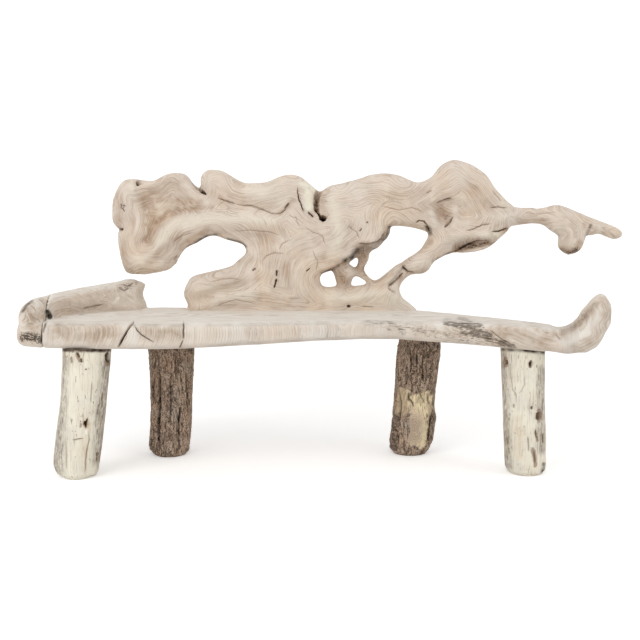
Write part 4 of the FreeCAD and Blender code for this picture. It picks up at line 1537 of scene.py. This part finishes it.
def meet_plank(timber):
    """Brings a log's shoulder up to the carved plank, behind its front edge, and leaves its tenon."""
    trees = []
    for mesh in (copied("seat_slab"), bpy.data.objects["seat_plank_carved"].data):
        build = bmesh.new()
        build.from_mesh(mesh)
        trees.append(BVHTree.FromBMesh(build))
        build.free()
    for index in np.nonzero(timber.points[:, 2] > SHOULDER)[0]:
        x, y, z = timber.points[index]
        solid, carved = (tree.ray_cast((x, y, BELOW_PLANK), (0, 0, 1), 0.3)[0] for tree in trees)
        if solid is not None and carved is not None and z < solid.z + 0.006:
            share = min(max((z - SHOULDER) / (solid.z - SHOULDER), 0.0), 1.0)
            z += share * min(carved.z + SHOULDER_BITE - solid.z, SHOULDER_RISE)
            timber.points[index, 2] = z
        front = trees[1].ray_cast((x, BEFORE_PLANK, z), (0, 1, 0), 1.0)[0]
        if front is not None and 0 < front.y + FRONT_GAP - y < 0.03:
            timber.points[index, 1] = front.y + FRONT_GAP
    timber.refresh()


def bark_relief(points, ragged, depth):
    """The bark's height, and how near each vertex lies to the bottom of a furrow."""
    furrow = noise(points, (0.013, 0.013, 0.05), seed=41, layers=3)
    furrow = np.abs(furrow + 0.25 * noise(points, (0.006, 0.006, 0.012), seed=47))
    lumps = noise(points, (0.05, 0.05, 0.09), seed=42, layers=2)
    relief = depth * (soft_step(furrow, 0.0, 0.22) - 0.8) + 0.0022 * lumps
    return relief + 0.0012 * ragged, soft_step(furrow, 0.13, 0.0)


def peeled_relief(points):
    """The long shallow ripples of a peeled log."""
    relief = 0.0012 * noise(points, (0.012, 0.012, 0.10), seed=43, layers=3) - 0.0008
    return relief + 0.0022 * noise(points, (0.06, 0.06, 0.1), seed=44)


def carve_leg(node, settings, rough):
    """A log drawn to its edges in the photograph, with bark or peeled wood, cracks and stains."""
    timber = Timber(regrained(copied(node), settings.grid))
    timber.smooth(5)
    fit_sides(timber, LEG_SIDES[node])
    meet_plank(timber)
    timber = Timber(split_near(timber.mesh, LEG_CREASES[node], 1))
    points = timber.points
    free = soft_step(-points[:, 2], *SHOULDER_BAND) * soft_step(points[:, 2], 0.0, 0.004)
    sides = 1 - soft_step(np.abs(timber.normals[:, 2]), 0.6, 0.9)
    ragged = noise(points, (0.014, 0.014, 0.022), seed=46, layers=3)
    timber.lay_tints(LEG_TINTS[node])
    bare = timber.tints.get("bare", np.zeros(len(points)))
    bare = soft_step(bare + 0.35 * ragged * (bare > 0.02), 0.30, 0.48)
    if rough:
        relief, furrow = bark_relief(points, ragged, settings.bark_depth)
        # Painted shade at the bottoms of the furrows, left off the bare wood
        timber.tints["furrow"] = furrow * (1 - bare)
    else:
        relief = peeled_relief(points)
    relief = relief * (1 - bare) + (0.0007 * ragged - 0.0032) * bare
    timber.swell(relief * free * sides)
    timber.note_hollows(10, 0.0016)
    timber.crease(LEG_CREASES[node])
    points = timber.points
    middle = points[:, :2].mean(0)
    ring = np.hypot(*(points[:, :2] - middle).T) + 0.010 * noise(points, (0.04, 0.04, 0.18), seed=45)
    if node == KNOT_NODE:
        knot = np.hypot(*((timber.pixels - KNOT_MIDDLE) * KNOT_SHAPE).T)
        here = soft_step(knot, *KNOT_EDGE) * soft_step(timber.facing, 0, 0.3)
        ring = ring * (1 - here) + knot * KNOT_RINGS * here
    timber.points[:, 2] = np.maximum(timber.points[:, 2], 0.0)
    timber.refresh()
    timber.tints.update(bare=bare, ring=ring)
    return timber.write()


def peeled_wood(settings):
    """Pale barked-off logs with greyish fibre lines, flecks and knots."""
    material, graph, shader = start_material("Peeled log wood")
    place = graph.place()
    weather = graph.group("Weathering", {"Place": place, "Patch scale": 14.0})
    fibre = graph.group("Fibre", {"Place": place, "Grain": (230.0, 230.0, 20.0)})
    rough = graph.streaks(place, (420.0, 420.0, 90.0), 3.0, 0.7)
    ragged = graph.plus(graph.field("brown"), graph.swing(rough, 1.1))
    flecks = graph.streaks(place, (120.0, 120.0, 42.0), 3.0, 0.6)
    grey = graph.field("grey")
    core, halo = crack_line(graph, place)
    colour = graph.layers(settings.peeled, (
        (weather["Warm"], 0.55, shade(231, 219, 198)),
        (weather["Grey"], 0.5, shade(218, 213, 204)),
        ("tan", 0.6, shade(214, 190, 158)),
        (graph.span(fibre["Fibre"], 0.48, 0.68), 0.40, shade(188, 174, 158)),
        (graph.span(fibre["Fibre"], 0.44, 0.26), 0.6, shade(245, 242, 232)),
        (graph.times(grey, graph.span(rough, 0.36, 0.60, 0.35, 1.0)), 0.85, shade(158, 147, 135)),
        (graph.times(grey, graph.span(fibre["Fibre"], 0.50, 0.60)), 0.65, shade(96, 82, 70)),
        (graph.span(ragged, 0.34, 0.60), 0.72, shade(138, 108, 84)),
        # Painted shade in the hollows
        ("hollow", 0.55, shade(182, 166, 146)),
        ("pale", 1, shade(246, 244, 238)),
        (graph.span(flecks, 0.655, 0.69), 0.65, shade(128, 108, 92)),
        (fibre["Check"], 0.5, shade(120, 102, 86)),
        (halo, 0.5, shade(168, 142, 114)),
        (core, 1, shade(48, 36, 28)),
        # Painted shade under the seat and in cracks
        ("dark", 1, shade(50, 38, 30)),
    ))
    height = graph.total((fibre["Fibre"], 1.3), (weather["Fuzz"], 0.3), (fibre["Check"], -1.2))
    rough = graph.span(weather["Fuzz"], 0.3, 0.7, 0.70, 0.92)
    finish_material(graph, shader, colour, rough, height, 0.6, 0.0012)
    return material


def bark_wood(settings):
    """Dark speckled bark with places where it has come away from striped bare wood."""
    material, graph, shader = start_material("Log bark")
    place = graph.place()
    weather = graph.group("Weathering", {"Place": place, "Patch scale": 26.0})
    fibre = graph.group("Fibre", {"Place": place, "Grain": (200.0, 200.0, 52.0)})
    rings = graph.group("Growth rings", {
        "Place": place, "Depth": graph.field("ring"), "Gap": 0.006, "Wander": 0.006})
    speckle = graph.streaks(place, (330.0, 330.0, 200.0), 3.0, 0.75)
    grey = graph.times(graph.field("grey"), graph.span(speckle, 0.46, 0.58))
    stripe = graph.span(graph.streaks(place, (260.0, 260.0, 40.0), 3.0, 0.7), 0.48, 0.60)
    knot = graph.span(graph.field("ring"), 0.040, 0.052, 0.25, 1.0)
    shadow = graph.times(graph.field("dark"), graph.span(speckle, 0.60, 0.40, 0.35, 1.0))
    core, halo = crack_line(graph, place)
    bark = graph.layers(settings.bark, (
        (weather["Warm"], 1, shade(186, 156, 132)),
        (weather["Grey"], 0.6, shade(170, 156, 142)),
        (graph.span(fibre["Fibre"], 0.44, 0.60), 0.80, shade(74, 58, 48)),
        (graph.span(speckle, 0.52, 0.62), 0.75, shade(226, 204, 180)),
        (graph.span(speckle, 0.46, 0.36), 0.85, shade(48, 37, 31)),
        (grey, 0.7, shade(178, 172, 162)),
        ("pale", 0.5, shade(168, 144, 130)),
        ("brown", 0.45, shade(112, 84, 66)),
        # Painted shade at the bottoms of the furrows
        ("furrow", 0.70, shade(50, 39, 32)),
    ))
    bare = graph.layers(shade(232, 212, 182), (
        ("grey", 0.9, shade(190, 170, 150)),
        ("brown", 0.7, shade(168, 140, 112)),
        ("yellow", 0.85, shade(253, 236, 194)),
        (rings["Line"], 0.42, shade(150, 128, 112)),
        (graph.span(speckle, 0.47, 0.36), 0.35, shade(120, 96, 76)),
        (graph.times(stripe, knot), 0.55, shade(110, 88, 70)),
    ))
    colour = graph.layers(bark, (
        ("bare", 1, bare),
        (halo, 0.4, shade(70, 54, 44)),
        (core, 1, shade(30, 23, 19)),
        (shadow, 0.85, shade(46, 36, 30)),
    ))
    height = graph.total((fibre["Fibre"], 2.0), (weather["Fuzz"], 0.6))
    rough = graph.span(weather["Fuzz"], 0.3, 0.7, 0.78, 0.98)
    finish_material(graph, shader, colour, rough, height, 0.8, 0.0016)
    return material


def make_flake_tree():
    """Scatters loose bark flakes over a log and joins them to it."""
    tree = bpy.data.node_groups.new("Bark flakes", 'GeometryNodeTree')
    face = tree.interface
    face.new_socket("Geometry", in_out='INPUT', socket_type='NodeSocketGeometry')
    sizes = {"Density": 2600.0, "Flake length": 0.011, "Flake width": 0.0032, "Flake thickness": 0.0018}
    for label, value in sizes.items():
        face.new_socket(label, in_out='INPUT', socket_type='NodeSocketFloat').default_value = value
    face.new_socket("Seed", in_out='INPUT', socket_type='NodeSocketInt')
    face.new_socket("Bark", in_out='INPUT', socket_type='NodeSocketMaterial')
    face.new_socket("Geometry", in_out='OUTPUT', socket_type='NodeSocketGeometry')
    graph = Graph(tree)
    given = graph.node('NodeGroupInput').outputs

    def compared(value, operation, limit):
        return graph.node('FunctionNodeCompare', {0: value, 1: limit}, operation=operation).outputs[0]

    def both(one, two):
        return graph.node('FunctionNodeBooleanMath', {0: one, 1: two}, operation='AND').outputs[0]

    place = graph.node('GeometryNodeInputPosition').outputs[0]
    height = graph.node('ShaderNodeSeparateXYZ', {0: place}).outputs[2]
    bare = graph.node('GeometryNodeInputNamedAttribute', {'Name': "bare"}, data_type='FLOAT').outputs[0]
    between = both(compared(height, 'LESS_THAN', FLAKES_TO), compared(height, 'GREATER_THAN', FLAKES_FROM))
    barked = both(between, compared(bare, 'LESS_THAN', FLAKES_BARE))
    spread = graph.node('GeometryNodeDistributePointsOnFaces', {
        'Mesh': given["Geometry"], 'Selection': barked, 'Density': given["Density"],
        'Seed': given["Seed"]}).outputs
    ball = graph.node('GeometryNodeMeshIcoSphere', {'Radius': 0.5, 'Subdivisions': 1}).outputs[0]
    size = graph.node('ShaderNodeCombineXYZ', {
        0: given["Flake width"], 1: given["Flake length"], 2: given["Flake thickness"]}).outputs[0]
    flake = graph.node('GeometryNodeTransform', {'Geometry': ball, 'Scale': size}).outputs[0]
    upright = graph.node('FunctionNodeAlignRotationToVector', {
        'Rotation': spread['Rotation'], 'Vector': (0.0, 0.0, 1.0)}, axis='Y', pivot_axis='Z').outputs[0]
    grow = graph.node('FunctionNodeRandomValue', {
        'Min': (0.5, 0.4, 0.6), 'Max': (1.5, 1.7, 1.3), 'Seed': given["Seed"]},
        data_type='FLOAT_VECTOR').outputs[0]
    copies = graph.node('GeometryNodeInstanceOnPoints', {
        'Points': spread['Points'], 'Instance': flake, 'Rotation': upright, 'Scale': grow}).outputs[0]
    joined = graph.node('GeometryNodeJoinGeometry')
    graph.feed(joined.inputs[0], copies)
    graph.feed(joined.inputs[0], given["Geometry"])
    real = graph.node('GeometryNodeRealizeInstances', {0: joined.outputs[0]}).outputs[0]
    painted = graph.node('GeometryNodeSetMaterial', {'Geometry': real, 'Material': given["Bark"]})
    graph.feed(graph.node('NodeGroupOutput').inputs[0], painted.outputs[0])
    return tree


def flaked(mesh, tree, settings, bark):
    """The log's mesh with its flakes, as one plain mesh."""
    piece = add_object("flaking", mesh)
    modifier = piece.modifiers.new("Bark flakes", 'NODES')
    modifier.node_group = tree
    area = 2 * math.pi * LOG_RADIUS * LOG_HEIGHT
    values = {"Density": settings.flakes / area, "Seed": settings.seed, "Bark": bark}
    for item in tree.interface.items_tree:
        if item.in_out == 'INPUT' and item.name in values:
            modifier[item.identifier] = values[item.name]
    return shaded_smooth(finished(piece))


class BENCH_OT_front_legs(Operator):
    """Carves the two peeled log legs at the front"""
    bl_idname = "bench.front_legs"
    bl_label = "Carve front legs"

    def execute(self, context):
        settings = context.scene.bench_legs
        material = peeled_wood(settings)
        for node in ("leg_front_left", "leg_front_right"):
            mesh = carve_leg(node, settings, rough=False)
            place_piece(node + "_carved", mesh, node, material)
        return {'FINISHED'}


class BENCH_OT_rear_legs(Operator):
    """Carves the two rear legs and lays flakes of bark on them"""
    bl_idname = "bench.rear_legs"
    bl_label = "Carve rear legs"

    def execute(self, context):
        settings = context.scene.bench_legs
        material = bark_wood(settings)
        tree = make_flake_tree()
        for node in ("leg_rear_left", "leg_rear_right"):
            mesh = flaked(carve_leg(node, settings, rough=True), tree, settings, material)
            place_piece(node + "_carved", mesh, node, material)
        return {'FINISHED'}


# The joinery

def sawn_wood():
    """Fresh sawn wood of the hidden wedges and tongue."""
    material, graph, shader = start_material("Sawn joint wood")
    fibre = graph.group("Fibre", {"Place": graph.place(), "Grain": (60.0, 260.0, 60.0)})["Fibre"]
    tone = graph.mix(graph.span(fibre, 0.35, 0.65), shade(204, 176, 138), shade(170, 138, 100))
    finish_material(graph, shader, tone, graph.span(fibre, 0.3, 0.7, 0.7, 0.85), fibre, 0.3, 0.0004)
    return material


def plated_steel():
    """Dull zinc with a little rust, for the coach screws."""
    material, graph, shader = start_material("Zinc plated steel")
    weather = graph.group("Weathering", {"Place": graph.place(), "Patch scale": 110.0, "Fuzz scale": 900.0})
    tone = graph.layers(shade(158, 160, 162), (
        (weather["Warm"], 1, shade(128, 128, 126)),
        (weather["Speck"], 0.5, shade(120, 90, 66)),
    ))
    shader['Metallic'].default_value = 1.0
    rough = graph.span(weather["Grey"], 0.0, 1.0, 0.34, 0.58)
    finish_material(graph, shader, tone, rough, weather["Fuzz"], 0.2, 0.0002)
    return material


class BENCH_OT_joinery(Operator):
    """Finishes the wedges, the loose tongue and the coach screws"""
    bl_idname = "bench.joinery"
    bl_label = "Finish joinery"

    def execute(self, context):
        sawn = sawn_wood()
        for node, material in (("leg_wedges", sawn), ("end_tongue", sawn), ("back_screws", plated_steel())):
            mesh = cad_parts[node].data
            mesh.materials.clear()
            mesh.materials.append(material)
        return {'FINISHED'}


# The stage

def lay_floor(settings):
    """The floor and backdrop in one sweep, which the camera sees as white."""
    profile = [(FLOOR_FRONT, 0.0), (FLOOR_BACK, 0.0)]
    for step in range(1, COVE_STEPS + 1):
        turn = math.pi / 2 * step / COVE_STEPS
        profile.append((FLOOR_BACK + COVE * math.sin(turn), COVE * (1 - math.cos(turn))))
    profile.append((FLOOR_BACK + COVE, WALL_TOP))
    mesh = bpy.data.meshes.new("studio_floor")
    with opened(mesh) as build:
        left, right = ([build.verts.new((x, y, z)) for y, z in profile] for x in (-HALF_WIDTH, HALF_WIDTH))
        for step in range(len(profile) - 1):
            build.faces.new((left[step], right[step], right[step + 1], left[step + 1]))
    add_object("studio_floor", mesh)
    material, graph, shader = start_material("Studio floor")
    shader['Base Color'].default_value = (*settings.floor, 1)
    shader['Roughness'].default_value = 0.9
    glow = graph.node('ShaderNodeEmission', {
        'Color': (1.0, 1.0, 1.0), 'Strength': graph.times(graph.seen(), FLOOR_GLOW)}).outputs[0]
    total = graph.node('ShaderNodeAddShader', {0: graph.found('BSDF_PRINCIPLED').outputs[0], 1: glow})
    graph.feed(graph.found('OUTPUT_MATERIAL').inputs['Surface'], total.outputs[0])
    mesh.materials.append(material)


def light_world(settings):
    """Even light from all round, behind which the camera sees plain white."""
    world = bpy.data.worlds.new("Studio light")
    world.use_nodes = True
    graph = Graph(world.node_tree)
    sky = graph.found('BACKGROUND').inputs
    sky['Color'].default_value = (1.0, 1.0, 1.0, 1.0)
    strength = graph.node('ShaderNodeMix', {0: graph.seen(), 2: settings.fill, 3: 1.0}, data_type='FLOAT')
    graph.feed(sky['Strength'], strength.outputs[0])
    return world


def add_light(name, place, aim, power, size):
    lamp = bpy.data.lights.new(name, 'AREA')
    lamp.shape = 'RECTANGLE'
    lamp.size, lamp.size_y = size
    lamp.energy = power
    light = add_object(name, lamp)
    light.location = place
    way = np.array(aim) - np.array(place)
    light.rotation_euler = (
        math.acos(-way[2] / np.linalg.norm(way)), 0.0, math.atan2(way[0], -way[1]) + math.pi)


def add_camera():
    """The photograph's camera."""
    camera = bpy.data.cameras.new("Photograph camera")
    camera.sensor_width = SENSOR
    camera.lens = CAMERA_FOCAL / PICTURE * SENSOR
    viewer = add_object("Photograph camera", camera)
    viewer.location = CAMERA_PLACE
    viewer.rotation_euler = (math.pi / 2 - CAMERA_PITCH, 0.0, 0.0)
    return viewer


class BENCH_OT_stage(Operator):
    """Lays the pale floor and backdrop, the soft lights and the photograph's camera"""
    bl_idname = "bench.stage"
    bl_label = "Set stage"

    def execute(self, context):
        settings = context.scene.bench_stage
        scene = context.scene
        scene.view_settings.view_transform = 'Standard'
        lay_floor(settings)
        scene.world = light_world(settings)
        for name, (place, aim, share, size) in LAMPS.items():
            add_light(name, place, aim, settings.key * share, size)
        scene.camera = add_camera()
        return {'FINISHED'}


class BENCH_PT_panel(Panel):
    """Lists the steps that make the bench"""
    bl_label = "Rustic log bench"
    bl_idname = "BENCH_PT_panel"
    bl_space_type = 'VIEW_3D'
    bl_region_type = 'UI'
    bl_category = "Bench"

    def draw(self, context):
        for name in SETTINGS:
            group = getattr(context.scene, name)
            box = self.layout.box()
            for value in group.bl_rna.properties.keys():
                if value not in ("rna_type", "name"):
                    box.prop(group, value)
        for step in STEPS:
            self.layout.operator(step.bl_idname)


SETTINGS = {
    "bench_root": RootSettings, "bench_plank": PlankSettings,
    "bench_legs": LegSettings, "bench_stage": StageSettings,
}
STEPS = (
    BENCH_OT_root, BENCH_OT_plank, BENCH_OT_front_legs, BENCH_OT_rear_legs, BENCH_OT_joinery,
    BENCH_OT_stage,
)


def register():
    for entry in (*SETTINGS.values(), *STEPS, BENCH_PT_panel):
        bpy.utils.register_class(entry)
    for name, group in SETTINGS.items():
        setattr(bpy.types.Scene, name, PointerProperty(type=group))


def unregister():
    for name in SETTINGS:
        delattr(bpy.types.Scene, name)
    for entry in (BENCH_PT_panel, *reversed(STEPS), *reversed(list(SETTINGS.values()))):
        bpy.utils.unregister_class(entry)


def main():
    register()
    for make in (make_growth_rings, make_weathering, make_fibre):
        make()
    bpy.ops.bench.root()
    bpy.ops.bench.plank()
    bpy.ops.bench.front_legs()
    bpy.ops.bench.rear_legs()
    bpy.ops.bench.joinery()
    bpy.ops.bench.stage()


if __name__ == "__main__":
    main()
